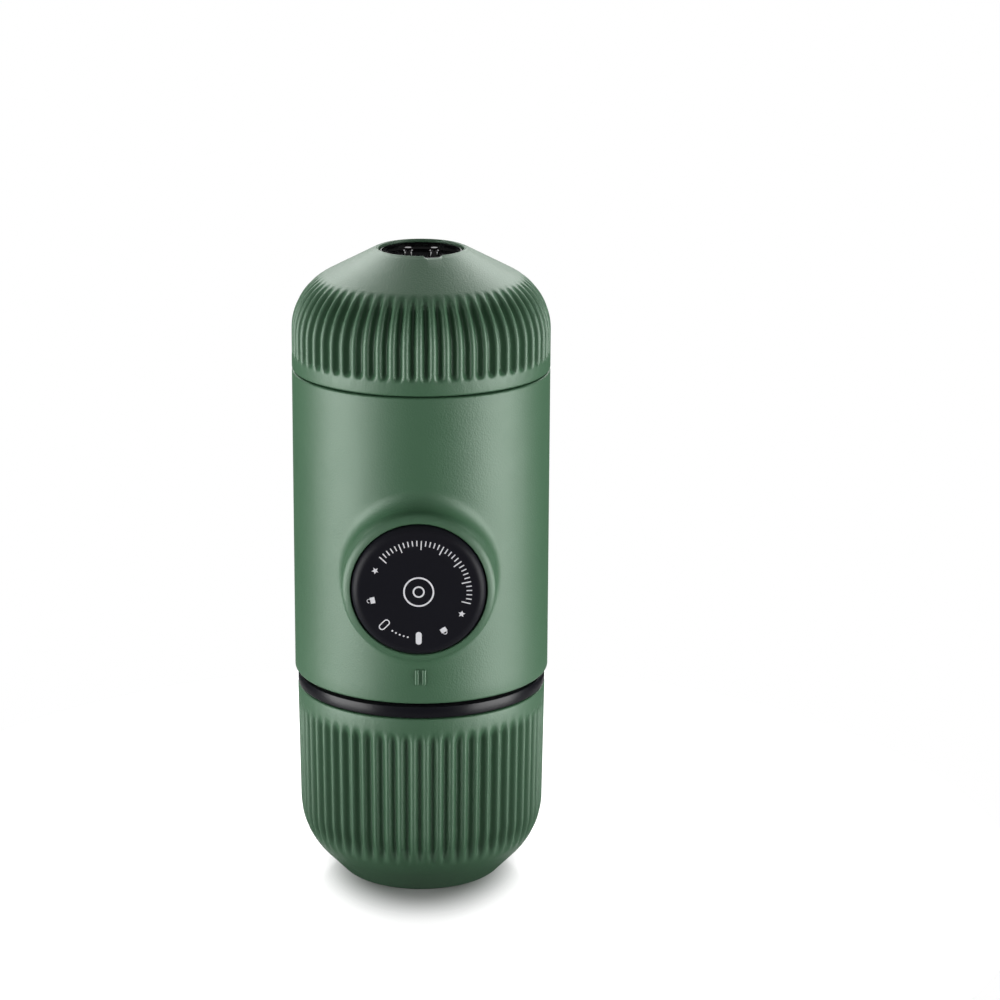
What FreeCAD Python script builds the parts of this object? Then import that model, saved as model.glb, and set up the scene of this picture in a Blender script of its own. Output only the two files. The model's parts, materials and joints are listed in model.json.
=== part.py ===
"""Handheld manual espresso maker, one solid per piece, in millimetres.

Frame: origin at the middle of the cup's foot, +Z up the body axis, pump knob facing -Y.
From the foot up: cup and water tank, main body with a cross-lying piston pump, and the
portafilter with its filter basket, crema valve and outlet head.
"""
import FreeCAD
import Part
import math
import os

# ---- Running gaps and fits -------------------------------------------------------------
FACE_GAP = 0.15          # between flat faces that press together across a joint
PRESS_FIT = 0.02         # radial, between pieces that never move on each other
SHAFT_FIT = 0.06         # radial, rod in bush and journal in bore
SLIP_FIT = 0.3           # radial, threads and skirts that turn or lift
SHELL_FIT = 0.1          # radial, inner mouldings in their outer shells
OVERCUT = 1.0            # how far a cutting tool reaches past the face that it opens

# ---- Outer form ------------------------------------------------------------------------
BODY_RADIUS = 31.0
BODY_WALL = 2.4
BODY_EDGE_ROUND = 0.5
CUP_HEIGHT = 48.5
CUP_RIM_SETBACK = 0.65   # the cup's rim lies this far inside the body's radius
CUP_DRAFT = 0.45         # how much the cup's straight wall narrows towards the dome
CUP_WALL = 2.4
CUP_DOME_RADIUS = 18.4
CUP_DOME_ANGLE = 43.6
CUP_CONE_HEIGHT = 5.56
RIM_GAP = 0.3
COLLAR_SETBACK = 0.7
COLLAR_HEIGHT = 2.8
COLLAR_GAP = 0.5

# ---- Flutes pressed into the cup and the portafilter -----------------------------------
FLUTE_COUNT = 60
FLUTE_DEPTH = 1.0
FLUTE_FLOOR_WIDTH = 0.7
FLUTE_MOUTH_WIDTH = 1.95
FLUTE_RAMP = 1.2
CUP_FLUTE_TOP_GAP = 4.2
CUP_FLUTE_FLOOR_RADIUS = 29.3
CUP_FLUTE_SWEEP = 36.0
HEAD_FLUTE_BOTTOM_GAP = 3.9
HEAD_FLUTE_FLOOR_RADIUS = 17.4
HEAD_FLUTE_SWEEP = 62.0

# ---- Water tank, held by its neck in the body's lower collar ---------------------------
TANK_WALL = 1.8
TANK_CLEARANCE = 1.2     # all round, between the tank and the cup
TANK_SPIGOT_HEIGHT = 4.5
TANK_NECK_HEIGHT = 7.4
TANK_NECK_WALL = 1.9
NECK_COLLAR_WALL = 1.8
TANK_GASKET_THICKNESS = 1.7
INTAKE_TUBE_RADIUS = 2.2
INTAKE_TUBE_BORE = 1.3
INTAKE_TUBE_LENGTH = 38.0
INTAKE_FITTING_RADIUS = 5.0
INTAKE_FITTING_THICKNESS = 2.0
INTAKE_BARB_RADIUS = 1.25
INTAKE_BARB_LENGTH = 6.0
STRAINER_RADIUS = 3.4
STRAINER_LENGTH = 6.0
STRAINER_OVERLAP = 2.5

# ---- Pump block: floor plate, spine and barrel -----------------------------------------
FLOOR_THICKNESS = 3.0
SLEEVE_FLOOR_CLEARANCE = 0.9
SPINE_ABOVE_SLEEVE = 7.3
SPINE_WIDTH = 24.0
SPINE_FRONT = 8.0
SPINE_REAR_CLEARANCE = 2.4
BARREL_RADIUS = 9.0
BARREL_END_WALL = 4.5
BARREL_FRONT = 28.0
CYLINDER_BORE = 6.0
CYLINDER_WALL = 1.2
PUMP_CHAMBER_LENGTH = 5.0
GALLERY_RADIUS = 1.5
VALVE_POCKET_RADIUS = 4.0
VALVE_POCKET_DEPTH = 5.0
VALVE_LIP_RADIUS = 2.6
VALVE_SLIT = 0.6
BUSH_LENGTH = 4.0
RELIEF_ABOVE_KNOB = 15.2
RELIEF_BORE = 3.5
RELIEF_SEAT = 3.0
RELIEF_PLUNGER_LENGTH = 2.4
RELIEF_PLUNGER_TIP = 1.3
RELIEF_CAP_RADIUS = 4.8
RELIEF_CAP_HEAD = 2.2
RELIEF_CAP_PLUG = 2.0
RELIEF_SPRING_RADIUS = 2.6
RELIEF_SPRING_WIRE = 0.5
RELIEF_SPRING_TURNS = 3
SCREW_RADIUS = 1.5
SCREW_LENGTH = 9.0
SCREW_HEAD_RADIUS = 2.8
SCREW_HEAD_HEIGHT = 2.0
SCREW_SPACING = 17.0
SCREW_BEHIND_GALLERY = 5.4

# ---- Piston, return spring and knob ----------------------------------------------------
STROKE = 22.0
ROD_RADIUS = 3.0
PLUNGER_CLEARANCE = 0.15
PLUNGER_LENGTH = 6.0
PISTON_SEAL_SECTION = 1.5
PISTON_SEAL_SPACING = 3.0
JOURNAL_RADIUS = 2.5
JOURNAL_LENGTH = 3.6
ROD_FLANGE_RADIUS = 12.4
ROD_FLANGE_THICKNESS = 1.5
KNOB_RADIUS = 15.7
KNOB_FACE_REACH = 40.0   # from the body axis to the knob's face
KNOB_EDGE_ROUND = 2.2
KNOB_SKIRT_WALL = 2.9
KNOB_FACE_THICKNESS = 3.0
KNOB_HUB_RADIUS = 4.5
KNOB_HUB_LENGTH = 4.0
RETAINER_LIP = 0.95
RETAINER_THICKNESS = 1.1
LOCK_RING_THICKNESS = 2.0
LOCK_LUG_HEIGHT = 0.8
LOCK_LUG_SPAN = 20.0
LOCK_TURN = 45.0
LEDGE_THICKNESS = 1.6
LEDGE_LEAD = 0.8
LEDGE_SPAN = 15.0
WELL_GAP = 0.2           # radial, the shadow line round the knob
BOSS_RADIUS = 18.0
BOSS_HEIGHT = 7.5        # how far the boss stands out from the body
BOSS_FLARE = 5.0
BOSS_RIM_ROUND = 0.8
BOSS_RIM_SLOPE = 0.9
SLEEVE_WALL = 1.2
SLEEVE_FRONT = 24.0
SLEEVE_LIP = 1.5
SLEEVE_FLOOR = 2.0
SLEEVE_END_CLEARANCE = 1.5
SPRING_WIRE = 1.2
SPRING_RADIUS = 10.9
SPRING_TURNS = 7
MARK_WIDTH = 0.9
MARK_SPACING = 1.7
MARK_HEIGHT = 4.0
MARK_RISE = 4.0
MARK_PROUD = 0.4

# ---- Group head and filter basket ------------------------------------------------------
DECK_THICKNESS = 3.0
PLATFORM_HEIGHT = 9.2
SEAM_ABOVE_PLATFORM = 6.6
SEAM_GAP = 0.3
NECK_WALL = 1.8
SKIRT_WALL = 2.0
SKIRT_BELOW_SEAM = 9.0
GROUP_GASKET_THICKNESS = 1.7
SHOWER_CHAMBER_DEPTH = 1.6
SHOWER_SCREEN_THICKNESS = 0.8
SHOWER_HOLE_RADIUS = 0.8
SHOWER_HOLES_INNER = 6
SHOWER_RING_INNER = 8.0
BASKET_DEPTH = 15.15
BASKET_WALL = 0.5
BASKET_FLANGE = 3.1
BASKET_FLANGE_THICKNESS = 0.8
BASKET_HOLE_RADIUS = 0.5
BASKET_RINGS = 2
BASKET_RING_STEP = 6.5
COLLECTOR_GAP = 1.0

# ---- Portafilter, crema valve and outlet head ------------------------------------------
WEB_THICKNESS = 3.0
HEAD_WALL = 2.6
SHOULDER_RADIUS = 15.0
SHOULDER_RISE = 19.6     # from the shoulder's start to the top of the lip
LIP_RADIUS = 10.9
OPENING_RADIUS = 10.2
LIP_BEVEL = 0.3
VALVE_CHAMBER_RADIUS = 4.0
VALVE_SEAT_RADIUS = 1.6
CREMA_DISC_RADIUS = 3.6
CREMA_DISC_THICKNESS = 1.0
CREMA_STEM_LENGTH = 2.0
CREMA_TRAVEL = 1.0
CREMA_SPRING_SPACE = 0.85  # left for the closed spring above the lifted valve
CREMA_SPRING_RADIUS = 2.6
CREMA_SPRING_WIRE = 0.22
CREMA_SPRING_TURNS = 2
RETAINER_DISC_THICKNESS = 0.7
RETAINER_HOLE_RADIUS = 1.8
OUTLET_STEM_RADIUS = 5.0
OUTLET_STEM_LENGTH = 5.65
OUTLET_FLANGE_THICKNESS = 2.7
OUTLET_RECESS = 2.6      # from the lip down to the outlet head's floor
OUTLET_RIM_DEPTH = 1.0   # from the lip down to the outlet head's rim
OUTLET_RIM_WALL = 0.8
OUTLET_DISH_RADIUS = 7.4
OUTLET_SEAL_SECTION = 1.6
NOZZLE_SPACING = 6.2
NOZZLE_RADIUS = 0.8
NOZZLE_RING_RADIUS = 1.9
NOZZLE_RING_HEIGHT = 1.0
TOWER_WALL_GAP = 0.6
NOTCH_WIDTH = 4.0
NOTCH_DEPTH = 0.8
NOTCH_ANGLE = 12.0

# ---- Heights that follow from the stack ------------------------------------------------
COLLAR_BOTTOM = CUP_HEIGHT + RIM_GAP
COLLAR_TOP = COLLAR_BOTTOM + COLLAR_HEIGHT
BODY_BOTTOM = COLLAR_TOP + COLLAR_GAP
TANK_NECK_TOP = COLLAR_TOP + TANK_NECK_HEIGHT
TANK_GASKET_BOTTOM = TANK_NECK_TOP + FACE_GAP
FLOOR_BOTTOM = TANK_GASKET_BOTTOM + TANK_GASKET_THICKNESS + FACE_GAP
FLOOR_TOP = FLOOR_BOTTOM + FLOOR_THICKNESS

# ---- Radii that follow, from the outside in --------------------------------------------
BODY_BORE = BODY_RADIUS - BODY_WALL
BLOCK_RADIUS = BODY_BORE - SHELL_FIT
NECK_COLLAR_BORE = BLOCK_RADIUS - NECK_COLLAR_WALL
TANK_NECK_RADIUS = NECK_COLLAR_BORE - SLIP_FIT
TANK_NECK_BORE = TANK_NECK_RADIUS - TANK_NECK_WALL
CUP_RIM_RADIUS = BODY_RADIUS - CUP_RIM_SETBACK
CUP_DOME_TOP_RADIUS = CUP_RIM_RADIUS - CUP_DRAFT
CUP_DOME_Z = CUP_CONE_HEIGHT + CUP_DOME_RADIUS * math.sin(math.radians(CUP_DOME_ANGLE))
SKIRT_RADIUS = BODY_BORE - SLIP_FIT
SKIRT_BORE = SKIRT_RADIUS - SKIRT_WALL
NECK_RADIUS = SKIRT_BORE - SLIP_FIT
NECK_BORE = NECK_RADIUS - NECK_WALL
BASKET_FLANGE_RADIUS = NECK_BORE - SLIP_FIT
BASKET_RADIUS = BASKET_FLANGE_RADIUS - BASKET_FLANGE
BASKET_BORE = BASKET_RADIUS - BASKET_WALL
WELL_RADIUS = KNOB_RADIUS + WELL_GAP
KNOB_SKIRT_BORE = KNOB_RADIUS - KNOB_SKIRT_WALL
LOCK_LUG_RADIUS = KNOB_RADIUS + LOCK_LUG_HEIGHT
SLEEVE_BORE = LOCK_LUG_RADIUS + WELL_GAP
SLEEVE_RADIUS = SLEEVE_BORE + SLEEVE_WALL

# ---- Knob axis, and depths measured forward from the body axis along -Y -----------------
KNOB_Z = FLOOR_TOP + SLEEVE_FLOOR_CLEARANCE + SLEEVE_RADIUS
LOCK_RING_FRONT = SLEEVE_FRONT - SLEEVE_LIP - SLIP_FIT - STROKE
LOCK_RING_BACK = LOCK_RING_FRONT - LOCK_RING_THICKNESS
SLEEVE_FLOOR_FRONT = LOCK_RING_BACK - SLEEVE_END_CLEARANCE
SLEEVE_BACK = SLEEVE_FLOOR_FRONT - SLEEVE_FLOOR
KNOB_INNER_FACE = KNOB_FACE_REACH - KNOB_FACE_THICKNESS
KNOB_HUB_BACK = KNOB_INNER_FACE - KNOB_HUB_LENGTH
ROD_FLANGE_FRONT = KNOB_HUB_BACK - FACE_GAP
ROD_FLANGE_BACK = ROD_FLANGE_FRONT - ROD_FLANGE_THICKNESS
PLUNGER_FRONT = BARREL_FRONT - BUSH_LENGTH - STROKE - PLUNGER_LENGTH - 4.0 * FACE_GAP
PLUNGER_BACK = PLUNGER_FRONT - PLUNGER_LENGTH
CHAMBER_END = PLUNGER_BACK - PUMP_CHAMBER_LENGTH
GALLERY_Y = -(PLUNGER_BACK - PUMP_CHAMBER_LENGTH / 2)
BARREL_BACK = CHAMBER_END - BARREL_END_WALL
BOSS_REACH = BODY_RADIUS + BOSS_HEIGHT
PLUNGER_RADIUS = CYLINDER_BORE - PLUNGER_CLEARANCE
CYLINDER_RADIUS = CYLINDER_BORE + CYLINDER_WALL
RELIEF_Z = KNOB_Z + RELIEF_ABOVE_KNOB
RELIEF_CAP_X = SPINE_WIDTH / 2
RELIEF_PLUNGER_BACK = RELIEF_SEAT + RELIEF_PLUNGER_LENGTH

# ---- Heights of the group head and the portafilter --------------------------------------
DECK_BOTTOM = KNOB_Z + SLEEVE_RADIUS + SPINE_ABOVE_SLEEVE
DECK_TOP = DECK_BOTTOM + DECK_THICKNESS
PLATFORM_TOP = DECK_TOP + PLATFORM_HEIGHT
BODY_TOP = PLATFORM_TOP + SEAM_ABOVE_PLATFORM
SHOWER_SCREEN_BOTTOM = PLATFORM_TOP - SHOWER_SCREEN_THICKNESS
SHOWER_CHAMBER_BOTTOM = SHOWER_SCREEN_BOTTOM - SHOWER_CHAMBER_DEPTH
GASKET_TOP = PLATFORM_TOP + GROUP_GASKET_THICKNESS
BASKET_BOTTOM = GASKET_TOP + FACE_GAP
BASKET_TOP = BASKET_BOTTOM + BASKET_DEPTH
WEB_BOTTOM = BASKET_TOP + COLLECTOR_GAP
WEB_TOP = WEB_BOTTOM + WEB_THICKNESS
VALVE_CHAMBER_HEIGHT = FACE_GAP + CREMA_DISC_THICKNESS + CREMA_TRAVEL + CREMA_SPRING_SPACE
RETAINER_DISC_BOTTOM = WEB_TOP + VALVE_CHAMBER_HEIGHT
SOCKET_BOTTOM = RETAINER_DISC_BOTTOM
STEM_BOTTOM = RETAINER_DISC_BOTTOM + RETAINER_DISC_THICKNESS + FACE_GAP
OUTLET_FLANGE_BOTTOM = STEM_BOTTOM + OUTLET_STEM_LENGTH
TOWER_TOP = OUTLET_FLANGE_BOTTOM - FACE_GAP
OUTLET_FLANGE_TOP = OUTLET_FLANGE_BOTTOM + OUTLET_FLANGE_THICKNESS
TOP = OUTLET_FLANGE_TOP + OUTLET_RECESS
HEAD_BOTTOM = BODY_TOP + SEAM_GAP
SHOULDER_Z = TOP - SHOULDER_RISE
SHOULDER_CENTRE = BODY_RADIUS - SHOULDER_RADIUS
HEAD_BORE = BODY_RADIUS - HEAD_WALL
TOWER_RADIUS = OPENING_RADIUS - TOWER_WALL_GAP
OUTLET_FLANGE_RADIUS = OPENING_RADIUS - SLIP_FIT

VERTICAL = FreeCAD.Vector(0, 0, 1)
ORIGIN = FreeCAD.Vector(0, 0, 0)


# ---- Drawing helpers --------------------------------------------------------------------
def radial_point(corner):
    radius, height = corner
    return FreeCAD.Vector(radius, 0, height)


def profile(start, *steps):
    """Flat face in the XZ plane; a step is a corner, or a (middle, end) pair for an arc."""
    edges = []
    here = radial_point(start)
    for step in steps:
        if isinstance(step[0], tuple):
            middle = radial_point(step[0])
            end = radial_point(step[1])
            edges.append(Part.Arc(here, middle, end).toShape())
        else:
            end = radial_point(step)
            edges.append(Part.LineSegment(here, end).toShape())
        here = end
    edges.append(Part.LineSegment(here, radial_point(start)).toShape())
    return Part.Face(Part.Wire(edges))


def turned(face):
    return face.revolve(ORIGIN, VERTICAL, 360)


def rod(radius, bottom, top):
    return Part.makeCylinder(radius, top - bottom, FreeCAD.Vector(0, 0, bottom))


def ring(inner, outer, bottom, top):
    return rod(outer, bottom, top).cut(rod(inner, bottom - OVERCUT, top + OVERCUT))


def block(x_size, y_size, z_size, x=0.0, y=0.0, z=0.0):
    """Box centred on x and y, standing on z."""
    return Part.makeBox(x_size, y_size, z_size, FreeCAD.Vector(x - x_size / 2, y - y_size / 2, z))


def moved(shape, x=0.0, y=0.0, z=0.0):
    copy = shape.copy()
    copy.translate(FreeCAD.Vector(x, y, z))
    return copy


def spun(shape, degrees):
    copy = shape.copy()
    copy.rotate(ORIGIN, VERTICAL, degrees)
    return copy


def on_knob_axis(shape):
    """Turns a shape drawn along +Z so that its height becomes depth forward on the knob axis."""
    copy = shape.copy()
    copy.rotate(ORIGIN, FreeCAD.Vector(1, 0, 0), 90)
    return moved(copy, z=KNOB_Z)


def on_relief_axis(shape):
    """Turns a shape drawn along +Z onto the relief valve's axis, which runs along +X."""
    copy = shape.copy()
    copy.rotate(ORIGIN, FreeCAD.Vector(0, 1, 0), 90)
    return moved(copy, y=GALLERY_Y, z=RELIEF_Z)


def coil(radius, wire, turns, bottom, top):
    """Compression spring of square wire between two flat seats."""
    climb = top - bottom - wire
    helix = Part.makeHelix(climb / turns, climb, radius)
    half = wire / 2
    corners = [(radius - half, -half), (radius + half, -half), (radius + half, half), (radius - half, half)]
    wires = Part.makePolygon([radial_point(corner) for corner in corners + corners[:1]])
    spring = Part.Wire(helix.Edges).makePipeShell([wires], True, True)
    return moved(spring, z=bottom + half)


def sector(inner, outer, bottom, top, start, span):
    """Part of a ring between two angles, in degrees from +X."""
    section = profile((inner, bottom), (outer, bottom), (outer, top), (inner, top))
    return spun(section.revolve(ORIGIN, VERTICAL, span), start)


# ---- Flutes -----------------------------------------------------------------------------
def flute_section(floor_radius, z):
    """Cross-section of one flute, flat floor and sloping walls, open outwards."""
    reach = FLUTE_DEPTH + OVERCUT
    slope = (FLUTE_MOUTH_WIDTH - FLUTE_FLOOR_WIDTH) / 2 / FLUTE_DEPTH
    floor_half = FLUTE_FLOOR_WIDTH / 2
    mouth_half = floor_half + slope * reach
    corners = [(floor_radius, -floor_half), (floor_radius + reach, -mouth_half),
               (floor_radius + reach, mouth_half), (floor_radius, floor_half)]
    points = [FreeCAD.Vector(x, y, z) for x, y in corners + corners[:1]]
    return Part.Face(Part.makePolygon(points))


def flute_cutter(floor_radius, bend_z, end_z, lean, bend_radius, sweep):
    """One flute: a bend that climbs out of the wall, and a straight run that ends in a ramp at end_z."""
    upwards = 1 if end_z < bend_z else -1
    section = flute_section(floor_radius, bend_z)
    straight = section.extrude(FreeCAD.Vector(lean, 0, end_z - bend_z))
    bend_centre = FreeCAD.Vector(floor_radius - bend_radius, 0, bend_z)
    bend = section.revolve(bend_centre, FreeCAD.Vector(0, -upwards, 0), sweep)
    ramp_foot = floor_radius + lean
    ramp_end = end_z + upwards * FLUTE_RAMP
    beyond = end_z - upwards * 2 * FLUTE_RAMP
    ramp = profile((ramp_foot - OVERCUT, ramp_end), (ramp_foot, ramp_end),
                   (ramp_foot + 3 * FLUTE_DEPTH, beyond), (ramp_foot - OVERCUT, beyond))
    wedge = moved(ramp.extrude(FreeCAD.Vector(0, 4 * FLUTE_MOUTH_WIDTH, 0)), y=-2 * FLUTE_MOUTH_WIDTH)
    return straight.fuse(bend).removeSplitter().cut(wedge)


def cut_flutes(shell, cutter, first_angle):
    step = 360.0 / FLUTE_COUNT
    cutters = [spun(cutter, first_angle + step * index) for index in range(FLUTE_COUNT)]
    return shell.cut(cutters)


# ---- Cup and water tank -----------------------------------------------------------------
def cup_outline(inset, floor, top):
    """Half outline of the cup's outer form, offset inwards by inset, closed on the axis."""
    angle = math.radians(CUP_DOME_ANGLE)
    radius = CUP_DOME_RADIUS - inset
    centre = CUP_DOME_TOP_RADIUS - CUP_DOME_RADIUS
    tangent = (centre + radius * math.cos(angle), CUP_DOME_Z - radius * math.sin(angle))
    middle = (centre + radius * math.cos(angle / 2), CUP_DOME_Z - radius * math.sin(angle / 2))
    foot = tangent[0] - (tangent[1] - floor) * math.tan(angle)
    share = (top - CUP_DOME_Z) / (CUP_HEIGHT - CUP_DOME_Z)
    top_radius = centre + radius + CUP_DRAFT * share
    return [(0, floor), (foot, floor), tangent, (middle, (centre + radius, CUP_DOME_Z)),
            (top_radius, top), (0, top)]


def make_cup():
    outside = turned(profile(*cup_outline(0, 0, CUP_HEIGHT)))
    inside = turned(profile(*cup_outline(CUP_WALL, CUP_WALL, CUP_HEIGHT + OVERCUT)))
    cup = outside.cut(inside)
    flute_end = CUP_HEIGHT - CUP_FLUTE_TOP_GAP
    lean = CUP_DRAFT * (flute_end - CUP_DOME_Z) / (CUP_HEIGHT - CUP_DOME_Z)
    cutter = flute_cutter(CUP_DOME_TOP_RADIUS - FLUTE_DEPTH, CUP_DOME_Z, flute_end, lean,
                          CUP_FLUTE_FLOOR_RADIUS, CUP_FLUTE_SWEEP)
    return cut_flutes(cup, cutter, -90.0)


def make_water_tank():
    outer_inset = CUP_WALL + TANK_CLEARANCE
    inner_inset = outer_inset + TANK_WALL
    outer = cup_outline(outer_inset, outer_inset, COLLAR_BOTTOM)
    body = turned(profile(*outer))
    spigot_radius = CUP_RIM_RADIUS - CUP_WALL - SLIP_FIT
    spigot = rod(spigot_radius, COLLAR_BOTTOM - TANK_SPIGOT_HEIGHT, COLLAR_BOTTOM)
    collar = rod(BODY_RADIUS - COLLAR_SETBACK, COLLAR_BOTTOM, COLLAR_TOP)
    neck = rod(TANK_NECK_RADIUS, COLLAR_TOP, TANK_NECK_TOP)
    outside = body.multiFuse([spigot, collar, neck]).removeSplitter()
    inside = turned(profile(*cup_outline(inner_inset, inner_inset, COLLAR_BOTTOM - TANK_SPIGOT_HEIGHT)))
    neck_bore = rod(TANK_NECK_BORE, CUP_DOME_Z, TANK_NECK_TOP + OVERCUT)
    return outside.cut(inside).cut(neck_bore)


def make_tank_gasket():
    return ring(TANK_NECK_BORE, TANK_NECK_RADIUS, TANK_GASKET_BOTTOM,
                TANK_GASKET_BOTTOM + TANK_GASKET_THICKNESS)


# ---- Main body shell --------------------------------------------------------------------
def boss_form():
    """The knob's boss as a full disc on the knob axis, with a rounded rim that slopes inwards."""
    rim_round = BOSS_RIM_ROUND
    corner = rim_round * (1 - math.sqrt(0.5))
    slope_end = BOSS_REACH - BOSS_RIM_SLOPE
    face = profile((0, SLEEVE_FRONT + SHELL_FIT), (BOSS_RADIUS, SLEEVE_FRONT + SHELL_FIT),
                   (BOSS_RADIUS, BOSS_REACH - rim_round),
                   ((BOSS_RADIUS - corner, BOSS_REACH - corner), (BOSS_RADIUS - rim_round, BOSS_REACH)),
                   (WELL_RADIUS, slope_end), (0, slope_end))
    return on_knob_axis(turned(face))


def on_boss_root(edge):
    """True for an edge that lies on both the body's cylinder and the boss's."""
    middle = edge.valueAt((edge.FirstParameter + edge.LastParameter) / 2)
    on_body = abs(math.hypot(middle.x, middle.y) - BODY_RADIUS) < SHELL_FIT
    on_boss = abs(math.hypot(middle.x, middle.z - KNOB_Z) - BOSS_RADIUS) < SHELL_FIT
    return on_body and on_boss


def make_main_body_shell():
    boss = boss_form()
    outside = rod(BODY_RADIUS, BODY_BOTTOM, BODY_TOP)
    outside = outside.makeFillet(BODY_EDGE_ROUND, [edge for edge in outside.Edges if is_ring(edge)])
    outside = outside.fuse(boss).removeSplitter()
    outside = outside.makeFillet(BOSS_FLARE, [edge for edge in outside.Edges if on_boss_root(edge)])
    shell = outside.cut(rod(BODY_BORE, BODY_BOTTOM - OVERCUT, BODY_TOP + OVERCUT))
    shell = shell.fuse(boss)
    well = on_knob_axis(rod(WELL_RADIUS, 0, KNOB_FACE_REACH))
    sleeve_room = on_knob_axis(rod(SLEEVE_RADIUS + SHELL_FIT, 0, SLEEVE_FRONT + SHELL_FIT))
    shell = shell.cut(well).cut(sleeve_room)
    mark_bottom = BODY_BOTTOM + MARK_RISE
    mark_face = BODY_RADIUS + MARK_PROUD
    for side in (-1, 1):
        mark = block(MARK_WIDTH, BODY_WALL, MARK_HEIGHT, x=side * MARK_SPACING / 2,
                     y=BODY_WALL / 2 - mark_face, z=mark_bottom)
        shell = shell.fuse(mark)
    return shell.removeSplitter()


def is_ring(edge):
    return isinstance(edge.Curve, Part.Circle)


# ---- Pump block and what it holds -------------------------------------------------------
def make_pump_block():
    floor = rod(BLOCK_RADIUS, FLOOR_BOTTOM, FLOOR_TOP)
    collar = ring(NECK_COLLAR_BORE, BLOCK_RADIUS, BODY_BOTTOM, FLOOR_BOTTOM)
    spine_rear = BODY_BORE - SPINE_REAR_CLEARANCE
    spine = block(SPINE_WIDTH, spine_rear - SPINE_FRONT, DECK_BOTTOM - FLOOR_TOP,
                  y=(spine_rear + SPINE_FRONT) / 2, z=FLOOR_TOP)
    spine = spine.common(rod(BLOCK_RADIUS, FLOOR_TOP, DECK_BOTTOM))
    barrel = on_knob_axis(rod(BARREL_RADIUS, BARREL_BACK, BARREL_FRONT))
    solid = floor.multiFuse([collar, spine, barrel]).removeSplitter()
    bore = on_knob_axis(rod(CYLINDER_RADIUS + PRESS_FIT, CHAMBER_END, BARREL_FRONT + OVERCUT))
    gallery = moved(rod(GALLERY_RADIUS, FLOOR_BOTTOM - OVERCUT, DECK_BOTTOM + OVERCUT), y=GALLERY_Y)
    inlet_pocket = moved(rod(VALVE_POCKET_RADIUS, FLOOR_BOTTOM - OVERCUT,
                             FLOOR_BOTTOM + VALVE_POCKET_DEPTH), y=GALLERY_Y)
    outlet_pocket = moved(rod(VALVE_POCKET_RADIUS, DECK_BOTTOM - VALVE_POCKET_DEPTH,
                              DECK_BOTTOM + OVERCUT), y=GALLERY_Y)
    relief_bore = on_relief_axis(rod(RELIEF_BORE, RELIEF_SEAT, RELIEF_CAP_X + OVERCUT))
    relief_feed = on_relief_axis(rod(GALLERY_RADIUS, 0, RELIEF_SEAT + OVERCUT))
    screw_holes = [moved(rod(SCREW_RADIUS + PRESS_FIT, DECK_BOTTOM - SCREW_LENGTH, DECK_BOTTOM + OVERCUT),
                         x=side * SCREW_SPACING / 2, y=GALLERY_Y + SCREW_BEHIND_GALLERY)
                   for side in (-1, 1)]
    return solid.cut([bore, gallery, inlet_pocket, outlet_pocket, relief_bore, relief_feed] + screw_holes)


def make_pump_cylinder():
    tube = ring(CYLINDER_BORE, CYLINDER_RADIUS, CHAMBER_END, BARREL_FRONT - BUSH_LENGTH)
    port = moved(rod(GALLERY_RADIUS, FLOOR_TOP, DECK_BOTTOM), y=GALLERY_Y)
    return on_knob_axis(tube).cut(port)


def make_rod_bush():
    bore = ROD_RADIUS + SHAFT_FIT
    return on_knob_axis(ring(bore, CYLINDER_RADIUS, BARREL_FRONT - BUSH_LENGTH, BARREL_FRONT))


def make_flap_valve(bottom):
    """Silicone duckbill: a flange in the pocket and a narrowing lip with a slit."""
    flange_top = bottom + VALVE_POCKET_DEPTH / 3
    lip_top = bottom + VALVE_POCKET_DEPTH - FACE_GAP
    body = turned(profile((0, bottom), (VALVE_POCKET_RADIUS - PRESS_FIT, bottom),
                          (VALVE_POCKET_RADIUS - PRESS_FIT, flange_top), (VALVE_LIP_RADIUS, flange_top),
                          (GALLERY_RADIUS, lip_top), (0, lip_top)))
    slit = block(2 * GALLERY_RADIUS, VALVE_SLIT, VALVE_POCKET_DEPTH, z=flange_top)
    inlet = rod(GALLERY_RADIUS, bottom - OVERCUT, flange_top)
    return moved(body.cut([slit, inlet]), y=GALLERY_Y)


def make_inlet_valve():
    return make_flap_valve(FLOOR_BOTTOM)


def make_outlet_valve():
    return make_flap_valve(DECK_BOTTOM - VALVE_POCKET_DEPTH)


def make_intake_fitting():
    top = FLOOR_BOTTOM
    bottom = top - INTAKE_FITTING_THICKNESS
    disc = rod(INTAKE_FITTING_RADIUS, bottom, top)
    barb = rod(INTAKE_BARB_RADIUS, bottom - INTAKE_BARB_LENGTH, bottom)
    passage = rod(INTAKE_BARB_RADIUS / 2, bottom - INTAKE_BARB_LENGTH - OVERCUT, top + OVERCUT)
    return moved(disc.fuse(barb).removeSplitter().cut(passage), y=GALLERY_Y)


def intake_tube_top():
    return FLOOR_BOTTOM - INTAKE_FITTING_THICKNESS


def make_intake_tube():
    top = intake_tube_top()
    return moved(ring(INTAKE_TUBE_BORE, INTAKE_TUBE_RADIUS, top - INTAKE_TUBE_LENGTH, top), y=GALLERY_Y)


def make_intake_strainer():
    tube_end = intake_tube_top() - INTAKE_TUBE_LENGTH
    top = tube_end + STRAINER_OVERLAP
    bottom = top - STRAINER_LENGTH
    cup = rod(STRAINER_RADIUS, bottom, top)
    socket = rod(INTAKE_TUBE_RADIUS + PRESS_FIT, tube_end, top + OVERCUT)
    passage = rod(INTAKE_TUBE_BORE, bottom - OVERCUT, top)
    return moved(cup.cut([socket, passage]), y=GALLERY_Y)


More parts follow.
